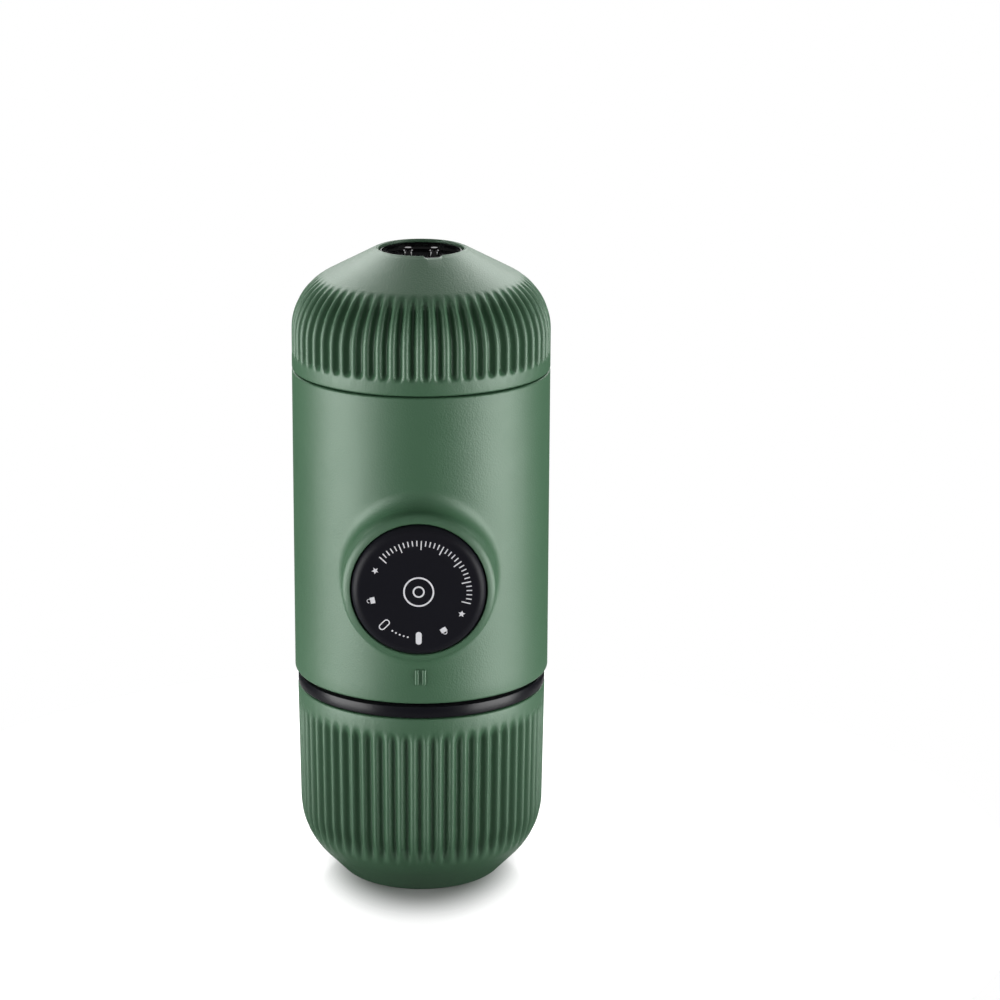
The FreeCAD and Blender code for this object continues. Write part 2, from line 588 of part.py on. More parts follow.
def make_relief_plunger():
    radius = RELIEF_BORE - SLIP_FIT / 2
    tip = RELIEF_SEAT - RELIEF_PLUNGER_TIP
    nose = GALLERY_RADIUS - SLIP_FIT
    start = RELIEF_SEAT + FACE_GAP
    return on_relief_axis(turned(profile((0, tip), (nose / 2, tip), (nose, start), (radius, start),
                                         (radius, RELIEF_PLUNGER_BACK), (0, RELIEF_PLUNGER_BACK))))


def make_relief_spring():
    seat = RELIEF_CAP_X - RELIEF_CAP_PLUG
    return on_relief_axis(coil(RELIEF_SPRING_RADIUS, RELIEF_SPRING_WIRE, RELIEF_SPRING_TURNS,
                               RELIEF_PLUNGER_BACK + FACE_GAP, seat - FACE_GAP))


def make_relief_cap():
    plug = rod(RELIEF_BORE - PRESS_FIT, RELIEF_CAP_X - RELIEF_CAP_PLUG, RELIEF_CAP_X)
    head = rod(RELIEF_CAP_RADIUS, RELIEF_CAP_X, RELIEF_CAP_X + RELIEF_CAP_HEAD)
    slot = block(2 * RELIEF_CAP_RADIUS + OVERCUT, VALVE_SLIT * 2, RELIEF_CAP_HEAD,
                 z=RELIEF_CAP_X + RELIEF_CAP_HEAD / 2)
    return on_relief_axis(plug.fuse(head).removeSplitter().cut(slot))


def make_guide_sleeve():
    """The knob's guide: a cup round the barrel with a front lip and two lock ledges."""
    wall = ring(SLEEVE_BORE, SLEEVE_RADIUS, SLEEVE_BACK, SLEEVE_FRONT)
    lip = ring(WELL_RADIUS, SLEEVE_RADIUS, SLEEVE_FRONT - SLEEVE_LIP, SLEEVE_FRONT)
    floor = ring(BARREL_RADIUS + SHELL_FIT, SLEEVE_RADIUS, SLEEVE_BACK, SLEEVE_FLOOR_FRONT)
    ledge_back = LOCK_RING_FRONT + LEDGE_LEAD
    clear = (LOCK_TURN - LEDGE_SPAN) / 2
    ledges = [sector(WELL_RADIUS, SLEEVE_BORE + SLEEVE_WALL / 2, ledge_back, ledge_back + LEDGE_THICKNESS,
                     start + clear, LEDGE_SPAN) for start in (0.0, 180.0)]
    return on_knob_axis(wall.multiFuse([lip, floor] + ledges).removeSplitter())


def make_chassis_screws():
    """Two screws that hold the group head down on the pump block's spine."""
    screws = []
    for side in (-1, 1):
        shank = rod(SCREW_RADIUS, DECK_BOTTOM - SCREW_LENGTH + OVERCUT, DECK_TOP)
        head_top = DECK_TOP + SCREW_HEAD_HEIGHT
        head = rod(SCREW_HEAD_RADIUS, DECK_TOP, head_top)
        socket = rod(SCREW_RADIUS / 2, head_top - SCREW_HEAD_HEIGHT / 2, head_top + OVERCUT)
        screw = shank.fuse(head).removeSplitter().cut(socket)
        screws.append(moved(screw, x=side * SCREW_SPACING / 2, y=GALLERY_Y + SCREW_BEHIND_GALLERY))
    return Part.makeCompound(screws)


# ---- Piston and knob --------------------------------------------------------------------
def make_piston_rod():
    outline = profile((0, PLUNGER_FRONT), (ROD_RADIUS, PLUNGER_FRONT), (ROD_RADIUS, ROD_FLANGE_BACK),
                      (ROD_FLANGE_RADIUS, ROD_FLANGE_BACK), (ROD_FLANGE_RADIUS, ROD_FLANGE_FRONT),
                      (JOURNAL_RADIUS, ROD_FLANGE_FRONT),
                      (JOURNAL_RADIUS, ROD_FLANGE_FRONT + JOURNAL_LENGTH),
                      (0, ROD_FLANGE_FRONT + JOURNAL_LENGTH))
    return on_knob_axis(turned(outline))


def seal_depths():
    middle = (PLUNGER_FRONT + PLUNGER_BACK) / 2
    return [middle - PISTON_SEAL_SPACING / 2, middle + PISTON_SEAL_SPACING / 2]


def square_seal(outer, section, middle):
    half = section / 2
    return ring(outer - section, outer, middle - half, middle + half)


def seal_groove(outer, section, middle):
    half = section / 2 + PRESS_FIT
    return ring(outer - section - PRESS_FIT, outer + OVERCUT, middle - half, middle + half)


def make_plunger():
    head = rod(PLUNGER_RADIUS, PLUNGER_BACK, PLUNGER_FRONT)
    outer = CYLINDER_BORE - SHAFT_FIT
    grooves = [seal_groove(outer, PISTON_SEAL_SECTION, depth) for depth in seal_depths()]
    return on_knob_axis(head.cut(grooves))


def make_piston_seals():
    outer = CYLINDER_BORE - SHAFT_FIT
    seals = [square_seal(outer, PISTON_SEAL_SECTION, depth) for depth in seal_depths()]
    return on_knob_axis(Part.makeCompound(seals))


def make_return_spring():
    return on_knob_axis(coil(SPRING_RADIUS, SPRING_WIRE, SPRING_TURNS,
                             SLEEVE_FLOOR_FRONT + FACE_GAP, ROD_FLANGE_BACK - FACE_GAP))


def make_knob_cap():
    edge = KNOB_EDGE_ROUND
    corner = edge * (1 - math.sqrt(0.5))
    edge_middle = (KNOB_RADIUS - corner, KNOB_FACE_REACH - corner)
    hub_bore = JOURNAL_RADIUS + SHAFT_FIT
    hub_bore_end = KNOB_HUB_BACK + JOURNAL_LENGTH + FACE_GAP
    outline = profile((KNOB_SKIRT_BORE, LOCK_RING_FRONT), (KNOB_RADIUS, LOCK_RING_FRONT),
                      (KNOB_RADIUS, KNOB_FACE_REACH - edge),
                      (edge_middle, (KNOB_RADIUS - edge, KNOB_FACE_REACH)),
                      (0, KNOB_FACE_REACH), (0, hub_bore_end), (hub_bore, hub_bore_end),
                      (hub_bore, KNOB_HUB_BACK), (KNOB_HUB_RADIUS, KNOB_HUB_BACK),
                      (KNOB_HUB_RADIUS, KNOB_INNER_FACE), (KNOB_SKIRT_BORE, KNOB_INNER_FACE))
    return on_knob_axis(turned(outline))


def make_retaining_ring():
    front = ROD_FLANGE_BACK - FACE_GAP
    outer = KNOB_SKIRT_BORE - PRESS_FIT
    return on_knob_axis(ring(outer - RETAINER_LIP, outer, front - RETAINER_THICKNESS, front))


def make_lock_ring():
    """Ring on the skirt's inner end, with two lugs that lie under the sleeve's ledges."""
    body = ring(KNOB_SKIRT_BORE, KNOB_RADIUS, LOCK_RING_BACK, LOCK_RING_FRONT)
    lugs = [sector(KNOB_RADIUS - KNOB_SKIRT_WALL / 2, LOCK_LUG_RADIUS, LOCK_RING_BACK, LOCK_RING_FRONT,
                   start - LOCK_LUG_SPAN / 2, LOCK_LUG_SPAN) for start in (0.0, 180.0)]
    return on_knob_axis(body.multiFuse(lugs).removeSplitter())


# ---- Group head, shower screen and basket -----------------------------------------------
def screen_radius():
    return BASKET_BORE - SLIP_FIT


def chamber_radius():
    return screen_radius() - OVERCUT


def make_group_head():
    deck = rod(BLOCK_RADIUS, DECK_BOTTOM, DECK_TOP)
    platform = rod(NECK_RADIUS, DECK_TOP, PLATFORM_TOP)
    neck_top = WEB_BOTTOM - COLLECTOR_GAP
    neck = ring(NECK_BORE, NECK_RADIUS, PLATFORM_TOP, neck_top)
    solid = deck.multiFuse([platform, neck]).removeSplitter()
    chamber = rod(chamber_radius(), SHOWER_CHAMBER_BOTTOM, PLATFORM_TOP + OVERCUT)
    screen_seat = rod(screen_radius() + PRESS_FIT, SHOWER_SCREEN_BOTTOM, PLATFORM_TOP + OVERCUT)
    feed = moved(rod(GALLERY_RADIUS, DECK_BOTTOM - OVERCUT, SHOWER_CHAMBER_BOTTOM + OVERCUT), y=GALLERY_Y)
    screw_ways = []
    for side in (-1, 1):
        shank_hole = rod(SCREW_RADIUS + PRESS_FIT, DECK_BOTTOM - OVERCUT, DECK_TOP)
        head_hole = rod(SCREW_HEAD_RADIUS + PRESS_FIT, DECK_TOP, SHOWER_CHAMBER_BOTTOM + OVERCUT)
        for hole in (shank_hole, head_hole):
            screw_ways.append(moved(hole, x=side * SCREW_SPACING / 2, y=GALLERY_Y + SCREW_BEHIND_GALLERY))
    return solid.cut([chamber, screen_seat, feed] + screw_ways)


def hole_ring(radius, hole_radius, count, bottom, top):
    return [spun(moved(rod(hole_radius, bottom, top), x=radius), 360.0 / count * index)
            for index in range(count)]


def make_shower_screen():
    disc = rod(screen_radius(), SHOWER_SCREEN_BOTTOM, PLATFORM_TOP)
    span = (SHOWER_SCREEN_BOTTOM - OVERCUT, PLATFORM_TOP + OVERCUT)
    holes = hole_ring(SHOWER_RING_INNER, SHOWER_HOLE_RADIUS, SHOWER_HOLES_INNER, *span)
    holes += hole_ring(2 * SHOWER_RING_INNER, SHOWER_HOLE_RADIUS, 2 * SHOWER_HOLES_INNER, *span)
    return disc.cut(holes + [rod(SHOWER_HOLE_RADIUS, *span)])


def make_group_gasket():
    return ring(BASKET_RADIUS, NECK_BORE - SHELL_FIT, PLATFORM_TOP, GASKET_TOP)


def make_filter_basket():
    """Steel basket, mouth down on the gasket, with its pierced base on top."""
    base_bottom = BASKET_TOP - BASKET_WALL
    flange_top = BASKET_BOTTOM + BASKET_FLANGE_THICKNESS
    basket = turned(profile((BASKET_BORE, BASKET_BOTTOM), (BASKET_FLANGE_RADIUS, BASKET_BOTTOM),
                            (BASKET_FLANGE_RADIUS, flange_top), (BASKET_RADIUS, flange_top),
                            (BASKET_RADIUS, BASKET_TOP), (0, BASKET_TOP), (0, base_bottom),
                            (BASKET_BORE, base_bottom)))
    span = (base_bottom - OVERCUT, BASKET_TOP + OVERCUT)
    holes = [rod(BASKET_HOLE_RADIUS, *span)]
    for number in range(1, BASKET_RINGS + 1):
        holes += hole_ring(number * BASKET_RING_STEP, BASKET_HOLE_RADIUS, 6 * number, *span)
    return basket.cut(holes)


# ---- Portafilter ------------------------------------------------------------------------
def cone_normal():
    """Angle, above the horizontal, of the top cone's outward normal."""
    across = LIP_RADIUS - SHOULDER_CENTRE
    tangent_share = SHOULDER_RADIUS / math.hypot(across, SHOULDER_RISE)
    return math.atan2(SHOULDER_RISE, across) - math.acos(tangent_share)


def head_cone_height(inset, radius):
    """Height of the cone, offset inwards by inset, at a radius from the body axis."""
    angle = cone_normal()
    reach = SHOULDER_RADIUS - inset
    return SHOULDER_Z + (reach - math.cos(angle) * (radius - SHOULDER_CENTRE)) / math.sin(angle)


def shoulder_steps(inset):
    """The shoulder arc from the straight wall to the cone, offset inwards by inset."""
    angle = cone_normal()
    reach = SHOULDER_RADIUS - inset
    arc = [(SHOULDER_CENTRE + reach * math.cos(a), SHOULDER_Z + reach * math.sin(a))
           for a in (0, angle / 2, angle)]
    return [arc[0], (arc[1], arc[2])]


def make_portafilter_shell():
    lip_foot = TOP - LIP_BEVEL
    outline = profile((HEAD_BORE, HEAD_BOTTOM), (BODY_RADIUS - BODY_EDGE_ROUND, HEAD_BOTTOM),
                      (BODY_RADIUS, HEAD_BOTTOM + BODY_EDGE_ROUND), *shoulder_steps(0),
                      (LIP_RADIUS, lip_foot), (LIP_RADIUS - LIP_BEVEL / 2, TOP),
                      (OPENING_RADIUS + LIP_BEVEL / 2, TOP), (OPENING_RADIUS, lip_foot),
                      (OPENING_RADIUS, head_cone_height(HEAD_WALL, OPENING_RADIUS)),
                      *reversed_steps(shoulder_steps(HEAD_WALL)))
    shell = turned(outline)
    flute_end = HEAD_BOTTOM + HEAD_FLUTE_BOTTOM_GAP
    cutter = flute_cutter(BODY_RADIUS - FLUTE_DEPTH, SHOULDER_Z, flute_end, 0.0,
                          HEAD_FLUTE_FLOOR_RADIUS, HEAD_FLUTE_SWEEP)
    shell = cut_flutes(shell, cutter, -90.0 + 180.0 / FLUTE_COUNT)
    return shell.cut(lip_notch())


def reversed_steps(steps):
    """The same arc walked the other way: first its end, then back through its middle."""
    start, (middle, end) = steps
    return [end, (middle, start)]


def lip_notch():
    """Finger notch through the lip, a little to the right of the front."""
    reach = LIP_RADIUS + BODY_WALL
    notch = block(NOTCH_WIDTH, reach, NOTCH_DEPTH + OVERCUT, y=-reach / 2, z=TOP - NOTCH_DEPTH)
    return spun(notch, NOTCH_ANGLE)


def make_portafilter_bowl():
    """Inner moulding: threaded skirt, basket clamp, web and the valve tower in one."""
    inset = HEAD_WALL + SHELL_FIT
    skirt_bottom = BODY_TOP - SKIRT_BELOW_SEAM
    clamp_inner = BASKET_RADIUS + SLIP_FIT
    clamp_outer = NECK_BORE - SLIP_FIT
    clamp_bottom = BASKET_BOTTOM + BASKET_FLANGE_THICKNESS + FACE_GAP
    reach = SHOULDER_RADIUS - inset
    rise = math.asin((WEB_TOP - SHOULDER_Z) / reach)
    wall_corner = (SHOULDER_CENTRE + reach * math.cos(rise), WEB_TOP)
    wall_middle = (SHOULDER_CENTRE + reach * math.cos(rise / 2), SHOULDER_Z + reach * math.sin(rise / 2))
    outline = profile((0, WEB_BOTTOM), (clamp_inner, WEB_BOTTOM), (clamp_inner, clamp_bottom),
                      (clamp_outer, clamp_bottom), (clamp_outer, WEB_BOTTOM), (SKIRT_BORE, WEB_BOTTOM),
                      (SKIRT_BORE, skirt_bottom), (SKIRT_RADIUS, skirt_bottom),
                      (SKIRT_RADIUS, SHOULDER_Z), (wall_middle, wall_corner),
                      (TOWER_RADIUS, WEB_TOP), (TOWER_RADIUS, TOWER_TOP), (0, TOWER_TOP))
    bowl = turned(outline)
    seat_hole = rod(VALVE_SEAT_RADIUS, WEB_BOTTOM - OVERCUT, WEB_TOP)
    chamber = rod(VALVE_CHAMBER_RADIUS, WEB_TOP, SOCKET_BOTTOM)
    socket = rod(OUTLET_STEM_RADIUS + SLIP_FIT, SOCKET_BOTTOM, TOWER_TOP + OVERCUT)
    return bowl.cut([seat_hole, chamber, socket])


def make_crema_valve():
    disc_bottom = WEB_TOP + FACE_GAP
    disc_top = disc_bottom + CREMA_DISC_THICKNESS
    stem = VALVE_SEAT_RADIUS - SLIP_FIT
    return turned(profile((0, disc_bottom - CREMA_STEM_LENGTH), (stem / 2, disc_bottom - CREMA_STEM_LENGTH),
                          (stem, disc_bottom), (CREMA_DISC_RADIUS, disc_bottom),
                          (CREMA_DISC_RADIUS, disc_top), (0, disc_top)))


def make_crema_spring():
    bottom = WEB_TOP + FACE_GAP + CREMA_DISC_THICKNESS
    return coil(CREMA_SPRING_RADIUS, CREMA_SPRING_WIRE, CREMA_SPRING_TURNS,
                bottom + FACE_GAP / 2, RETAINER_DISC_BOTTOM - FACE_GAP / 2)


def make_valve_retainer():
    return ring(RETAINER_HOLE_RADIUS, OUTLET_STEM_RADIUS + SLIP_FIT - PRESS_FIT, RETAINER_DISC_BOTTOM,
                RETAINER_DISC_BOTTOM + RETAINER_DISC_THICKNESS)


def outlet_seal_height():
    return (STEM_BOTTOM + OUTLET_FLANGE_BOTTOM) / 2


def outlet_seal_radius():
    return OUTLET_STEM_RADIUS + SLIP_FIT - SHAFT_FIT


def make_outlet_head():
    """Dished head: a plug for the tower's socket, a rim, and two nozzles on its floor."""
    outer = OUTLET_FLANGE_RADIUS
    rim_top = TOP - OUTLET_RIM_DEPTH
    flange = turned(profile((0, OUTLET_FLANGE_BOTTOM), (outer, OUTLET_FLANGE_BOTTOM), (outer, rim_top),
                            (outer - OUTLET_RIM_WALL, rim_top), (OUTLET_DISH_RADIUS, OUTLET_FLANGE_TOP),
                            (0, OUTLET_FLANGE_TOP)))
    stem = rod(OUTLET_STEM_RADIUS, STEM_BOTTOM, OUTLET_FLANGE_BOTTOM)
    nozzles = [moved(rod(NOZZLE_RING_RADIUS, OUTLET_FLANGE_TOP, OUTLET_FLANGE_TOP + NOZZLE_RING_HEIGHT),
                     x=side * NOZZLE_SPACING / 2) for side in (-1, 1)]
    solid = flange.multiFuse([stem] + nozzles).removeSplitter()
    holes = [moved(rod(NOZZLE_RADIUS, STEM_BOTTOM - OVERCUT, TOP), x=side * NOZZLE_SPACING / 2)
             for side in (-1, 1)]
    groove = seal_groove(outlet_seal_radius(), OUTLET_SEAL_SECTION, outlet_seal_height())
    return solid.cut(holes + [groove])


def make_outlet_seal():
    return square_seal(outlet_seal_radius(), OUTLET_SEAL_SECTION, outlet_seal_height())


PIECES = {
    "cup": make_cup,
    "water_tank": make_water_tank,
    "tank_gasket": make_tank_gasket,
    "main_body_shell": make_main_body_shell,
    "pump_block": make_pump_block,
    "pump_cylinder": make_pump_cylinder,
    "rod_bush": make_rod_bush,
    "inlet_valve": make_inlet_valve,
    "outlet_valve": make_outlet_valve,
    "intake_fitting": make_intake_fitting,
    "intake_tube": make_intake_tube,
    "intake_strainer": make_intake_strainer,
    "relief_plunger": make_relief_plunger,
    "relief_spring": make_relief_spring,
    "relief_cap": make_relief_cap,
    "guide_sleeve": make_guide_sleeve,
    "chassis_screws": make_chassis_screws,
    "piston_rod": make_piston_rod,
    "plunger": make_plunger,
    "piston_seals": make_piston_seals,
    "return_spring": make_return_spring,
    "knob_cap": make_knob_cap,
    "retaining_ring": make_retaining_ring,
    "lock_ring": make_lock_ring,
    "group_head": make_group_head,
    "shower_screen": make_shower_screen,
    "group_gasket": make_group_gasket,
    "filter_basket": make_filter_basket,
    "portafilter_shell": make_portafilter_shell,
    "portafilter_bowl": make_portafilter_bowl,
    "crema_valve": make_crema_valve,
    "crema_spring": make_crema_spring,
    "valve_retainer": make_valve_retainer,
    "outlet_head": make_outlet_head,
    "outlet_seal": make_outlet_seal,
}


def main():
    os.makedirs("parts", exist_ok=True)
    for name, make in PIECES.items():
        shape = make()
        shape.exportStep(f"parts/{name}.step")
        solids = len(shape.Solids)
        print(f"{name}: {solids} solid(s), {shape.Volume:.1f} mm3, valid {shape.isValid()}")


main()
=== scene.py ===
"""Handheld espresso maker in the studio: its fluted shells, fittings and finishes, in metres.

The frame gives every piece its place. What stands in view here is modelled again from
the frame's sizes, with finer rounds, deeper flutes and the dial's print.
"""
import json
import math

import bpy
from mathutils import Euler, Matrix, Vector


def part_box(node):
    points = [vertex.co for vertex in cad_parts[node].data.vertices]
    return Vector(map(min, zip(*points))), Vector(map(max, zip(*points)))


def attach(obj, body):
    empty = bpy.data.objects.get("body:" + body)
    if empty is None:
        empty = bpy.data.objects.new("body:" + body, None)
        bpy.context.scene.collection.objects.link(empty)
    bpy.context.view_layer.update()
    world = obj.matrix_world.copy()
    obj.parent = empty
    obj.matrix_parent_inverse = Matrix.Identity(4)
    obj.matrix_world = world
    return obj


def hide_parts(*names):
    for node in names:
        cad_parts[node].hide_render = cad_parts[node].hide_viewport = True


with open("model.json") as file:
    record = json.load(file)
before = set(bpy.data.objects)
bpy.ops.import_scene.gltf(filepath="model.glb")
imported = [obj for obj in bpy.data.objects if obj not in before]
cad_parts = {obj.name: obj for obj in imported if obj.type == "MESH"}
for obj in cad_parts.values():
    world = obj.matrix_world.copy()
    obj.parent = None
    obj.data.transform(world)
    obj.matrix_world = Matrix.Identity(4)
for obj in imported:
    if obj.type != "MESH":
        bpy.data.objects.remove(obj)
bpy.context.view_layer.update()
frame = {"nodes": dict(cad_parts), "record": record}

NODES = frame["nodes"]

# ---- Sizes read from the frame ----------------------------------------------------------
BODY_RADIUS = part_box("main_body_shell")[1][0]
BODY_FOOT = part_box("main_body_shell")[0][2]
BODY_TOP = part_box("main_body_shell")[1][2]
BOSS_FRONT = -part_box("main_body_shell")[0][1]
HEAD_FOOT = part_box("portafilter_shell")[0][2]
HEAD_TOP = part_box("portafilter_shell")[1][2]
CUP_RIM_DROP = 0.0005
CUP_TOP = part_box("cup")[1][2] - CUP_RIM_DROP
CUP_RIM_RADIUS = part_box("cup")[1][0]
KNOB_Z = (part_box("knob_cap")[0][2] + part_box("knob_cap")[1][2]) / 2
KNOB_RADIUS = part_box("knob_cap")[1][0]
KNOB_FRONT = -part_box("knob_cap")[0][1]
KNOB_BACK = -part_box("knob_cap")[1][1]
TANK_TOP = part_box("water_tank")[1][2]
OUTLET_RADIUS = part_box("outlet_head")[1][0]
OUTLET_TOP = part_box("outlet_head")[1][2]
OUTLET_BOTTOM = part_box("outlet_head")[0][2]

# ---- Rounds -----------------------------------------------------------------------------
FINE_SEGMENTS = 192
EDGE_ROUND = 0.0005
EDGE_STEPS = 4
INNER_STEPS = 10
LIP_BEVEL = 0.0002

# ---- Flutes -----------------------------------------------------------------------------
# Each section is the wall's slope in degrees at shares of the way from a crest's top to a flute's bottom.
FLUTES = 60
HALF_PITCH = BODY_RADIUS * math.pi / FLUTES
HEAD_SECTION = [(0.00, 0), (0.07, 9), (0.14, 18), (0.22, 28), (0.30, 36), (0.37, 43), (0.43, 55), (0.50, 65),
                (0.58, 65), (0.68, 55), (0.79, 38), (0.90, 18), (1.00, 0)]
CUP_SECTION = [(0.00, 0), (0.08, 14), (0.16, 26), (0.24, 35), (0.32, 42), (0.40, 48), (0.48, 54), (0.56, 57),
               (0.64, 55), (0.73, 46), (0.82, 32), (0.91, 16), (1.00, 0)]
END_STEPS = 8

# ---- Portafilter shell ------------------------------------------------------------------
HEAD_WALL = 0.0026
HEAD_FLUTE_START = HEAD_FOOT + 0.0030
HEAD_FLUTE_RUN = 0.0020
HEAD_FLUTE_END = math.radians(60.5)
HEAD_END_RUN = math.radians(22)
SHOULDER_RADIUS = 0.015
SHOULDER_RISE = 0.0196
SHOULDER_Z = HEAD_TOP - SHOULDER_RISE
SHOULDER_CENTRE = BODY_RADIUS - SHOULDER_RADIUS
SHOULDER_STEPS = 28
# Radii of the rows down the cone, and of those outside the notch from its foot.
CONE_ROWS = (0.0190, 0.0150)
NOTCH_ROWS = (0.0006, 0.0002, 0.0)
LIP_RADIUS = 0.0109
OPENING_RADIUS = 0.0102
NOTCH_ANGLE = -73.5
NOTCH_HALF_WIDTH = 0.0023
NOTCH_EASE = 0.0008
NOTCH_DEPTH = 0.00055

# ---- Cup --------------------------------------------------------------------------------
CUP_WALL = 0.0024
CUP_DRAFT = 0.00045
CUP_DOME_RADIUS = 0.0184
CUP_DOME_ANGLE = 43.6
CUP_DOME_FOOT = 0.00556
CUP_DOME_STEPS = 24
CUP_DOME_Z = CUP_DOME_FOOT + CUP_DOME_RADIUS * math.sin(math.radians(CUP_DOME_ANGLE))
CUP_DOME_CENTRE = CUP_RIM_RADIUS - CUP_DRAFT - CUP_DOME_RADIUS
CUP_FLUTE_START = math.radians(31.5)
CUP_START_RUN = math.radians(20)
CUP_FLUTE_END = CUP_TOP - 0.0031
CUP_FLUTE_RUN = 0.0040
CUP_EYE = 0.003
CUP_FOOT_EASE = 0.0005
CUP_FOOT_RISE = 0.0001

# ---- Main shell and boss ----------------------------------------------------------------
BODY_BORE = BODY_RADIUS - 0.0024
BOSS_RADIUS = 0.018
BOSS_FLARE = 0.0043
BOSS_CROWN_START = 72.0
BOSS_CROWN_FALL = 0.0017
BOSS_CROWN_STEPS = 10
BOSS_LIP = 0.0002
FLARE_STEPS = 12
WELL_RADIUS = KNOB_RADIUS + 0.0002
PLUG_BACK = 0.0241
WELL_INTO_PLUG = 0.004
CORE_OVERCUT = 0.002
WALL_COLUMNS = 194
WINDOW_COLUMNS = 56
WINDOW_ROWS = 40
WINDOW_HEIGHT = 0.0536
BOSS_STEPS = 2 * (WINDOW_COLUMNS + WINDOW_ROWS)
WALL_SHARES = (0, 0.25, 0.5, 0.75, 0.9)
ROWS_UNDER_SEAM = (0.011, 0.005)
MARK_SIZE = (0.0009, 0.0012, 0.0040)
MARK_SPACING = 0.0017
MARK_PROUD = 0.0004
MARK_SHIFT = 0.00025
MARK_FOOT = BODY_FOOT + 0.0047
MARK_EDGE = 0.00035
MARK_EDGE_STEPS = 5

# ---- Knob and its print -----------------------------------------------------------------
KNOB_ROUND = 0.0022
KNOB_SKIRT = 0.0029
KNOB_THICKNESS = 0.0030
KNOB_EYE = 0.0026
KNOB_ROUND_END = 84
KNOB_ROUND_STEPS = 9
KNOB_BEVEL = 0.0002
KNOB_EASE = 0.0006
KNOB_FACE_FALL = 0.00002
PRINT_THICKNESS = 0.00004
PRINT_RADIUS = 0.0113
PRINT_TICKS = 31
PRINT_FIRST_TICK = 137.0
PRINT_LAST_TICK = -13.0
PRINT_TICK_TOP = 0.0124
TICKS_PER_LONG = 5
LONG_TICK = 0.0022
SHORT_TICK = 0.0013
PRINT_LINE = 0.00026
# The ovals' end radius and length, and the clock angles in degrees, counted from the right.
LOCKED_CLOCK = -90.0
LOCKED_OVAL = (0.0007, 0.0031)
UNLOCKED_CLOCK = -135.0
UNLOCKED_OVAL = (0.0008, 0.0030)
DOT_COUNT = 5
DOT_RADIUS = 0.00022
FIRST_DOT_CLOCK = -103.0
DOT_SPACING = -5.0
STAR_RADIUS = 0.00085
STAR_WAIST = 0.45
STAR_CLOCKS = (153.0, -28.0)
RING_LINE = 0.00038
WIDE_RING = 0.0036
SMALL_RING = 0.0014
PADLOCK_CLOCKS = {"open": -169.0, "closed": -58.0}
PADLOCK_INSET = 0.0004
PADLOCK_BODY = (0.0011, 0.0015)
PADLOCK_TOP = 0.00055
PADLOCK_LINE = 0.00018
SHACKLE_RADIUS = 0.00052
SHACKLE_OVERLAP = 0.00002
SHACKLE_LIFT = {"open": 0.0003, "closed": 0.0001}
# Each leg's length, and how far its middle lies above the padlock's body.
SHACKLE_LEG = (0.0004, 0.0002)
SHORT_LEG = (0.00012, 0.00034)
SHACKLE_LEG_OUT = 0.00043

# ---- Water tank -------------------------------------------------------------------------
TANK_INSET = 0.0036
TANK_WALL = 0.0018
TANK_EDGE = 0.00025
SPIGOT_CLEARANCE = 0.0003
SPIGOT_HEIGHT = 0.0045
COLLAR_RADIUS = BODY_RADIUS - 0.0007
COLLAR_GAP = 0.0003
COLLAR_HEIGHT = 0.0028
COLLAR_BOTTOM = CUP_TOP + COLLAR_GAP
COLLAR_TOP = COLLAR_BOTTOM + COLLAR_HEIGHT
NECK_RADIUS = 0.0264
NECK_BORE = 0.0245
GROUP_NECK_RADIUS = 0.0260

# ---- Threads on the necks ---------------------------------------------------------------
THREAD_HEIGHT = 0.0002
THREAD_PITCH = 0.0024
THREAD_HALF_SHARE = 0.22
THREAD_SIDES = 8
THREAD_STEPS = 96
THREAD_TURNS = 2.0
TANK_THREAD_START = 0.0014
GROUP_THREAD_START = 0.0012

# ---- Outlet head ------------------------------------------------------------------------
OUTLET_RAISE = 0.0004
OUTLET_STEM = 0.0050
OUTLET_FLANGE = 0.0043
OUTLET_RIM_WALL = 0.0005
OUTLET_BEVEL = 0.0002
DISH_DEPTH = 0.0016
DISH_ROUND = 0.0013
DISH_FLAT = 0.0087
DISH_ROUND_START = 10
DISH_STEPS = 8
NOZZLE_OUT = 0.0031
NOZZLE_BORE = 0.0008
NOZZLE_FOOT = 0.0019
NOZZLE_ROUND = 0.0006
NOZZLE_SINK = 0.0001
# The nozzle's rim, as radius and fall below the outlet's top.
NOZZLE_TOP = [(0.0012, 0.0003), (0.00112, 0.0001), (0.0009, 0.0001), (NOZZLE_BORE, 0.0002)]
BORE_OVERCUT = 0.001

# ---- Relief of the finishes -------------------------------------------------------------
GRAIN_RELIEF = 0.00006
SILICONE_RELIEF = 0.00005
BRUSH_RELIEF = 0.00003

# ---- Studio -----------------------------------------------------------------------------
CAMERA_PLACE = (0.011988, -0.7448, 0.305486)
CAMERA_TILT = 90.0 - 15.874
CAMERA_PAN = -0.547
CAMERA_ROLL = 0.35
CAMERA_LENS = 114.75
ROOM_HIGH = 0.12
ROOM_LOW = 0.05
ROOM_BEHIND = 0.35
ROOM_CEILING = 0.10
# Where the room's light changes over: along the view's Z for a rise, along its Y for a turn.
ROOM_RISE = (-0.25, 0.10)
ROOM_TURN = (0.20, 0.70)
CEILING_RISE = (0.55, 0.95)
PAPER_TURN = (0.80, 0.93)
PAPER_RISE = (-0.10, 0.05)
TABLE_RADIUS = 0.15
TABLE_WHITE = 0.5
TABLE_ROUGHNESS = 0.16
TABLE_IOR = 1.9
# The floor's camera glow fades out towards the foot over a ring stretched sideways: a painted contact shadow.
FLOOR_GLOW_IN_PAINTED_SHADOW = 0.0
FLOOR_GLOW_FAR = 0.85
FLOOR_PAINTED_SHADOW_RING = (0.021, 0.043)
FLOOR_BOUNCE = 0.35
FLOOR_PAINTED_SHADOW_STRETCH = (1.5, 1.0, 1.0)
LAMP_TARGET = (0, 0, 0.08)
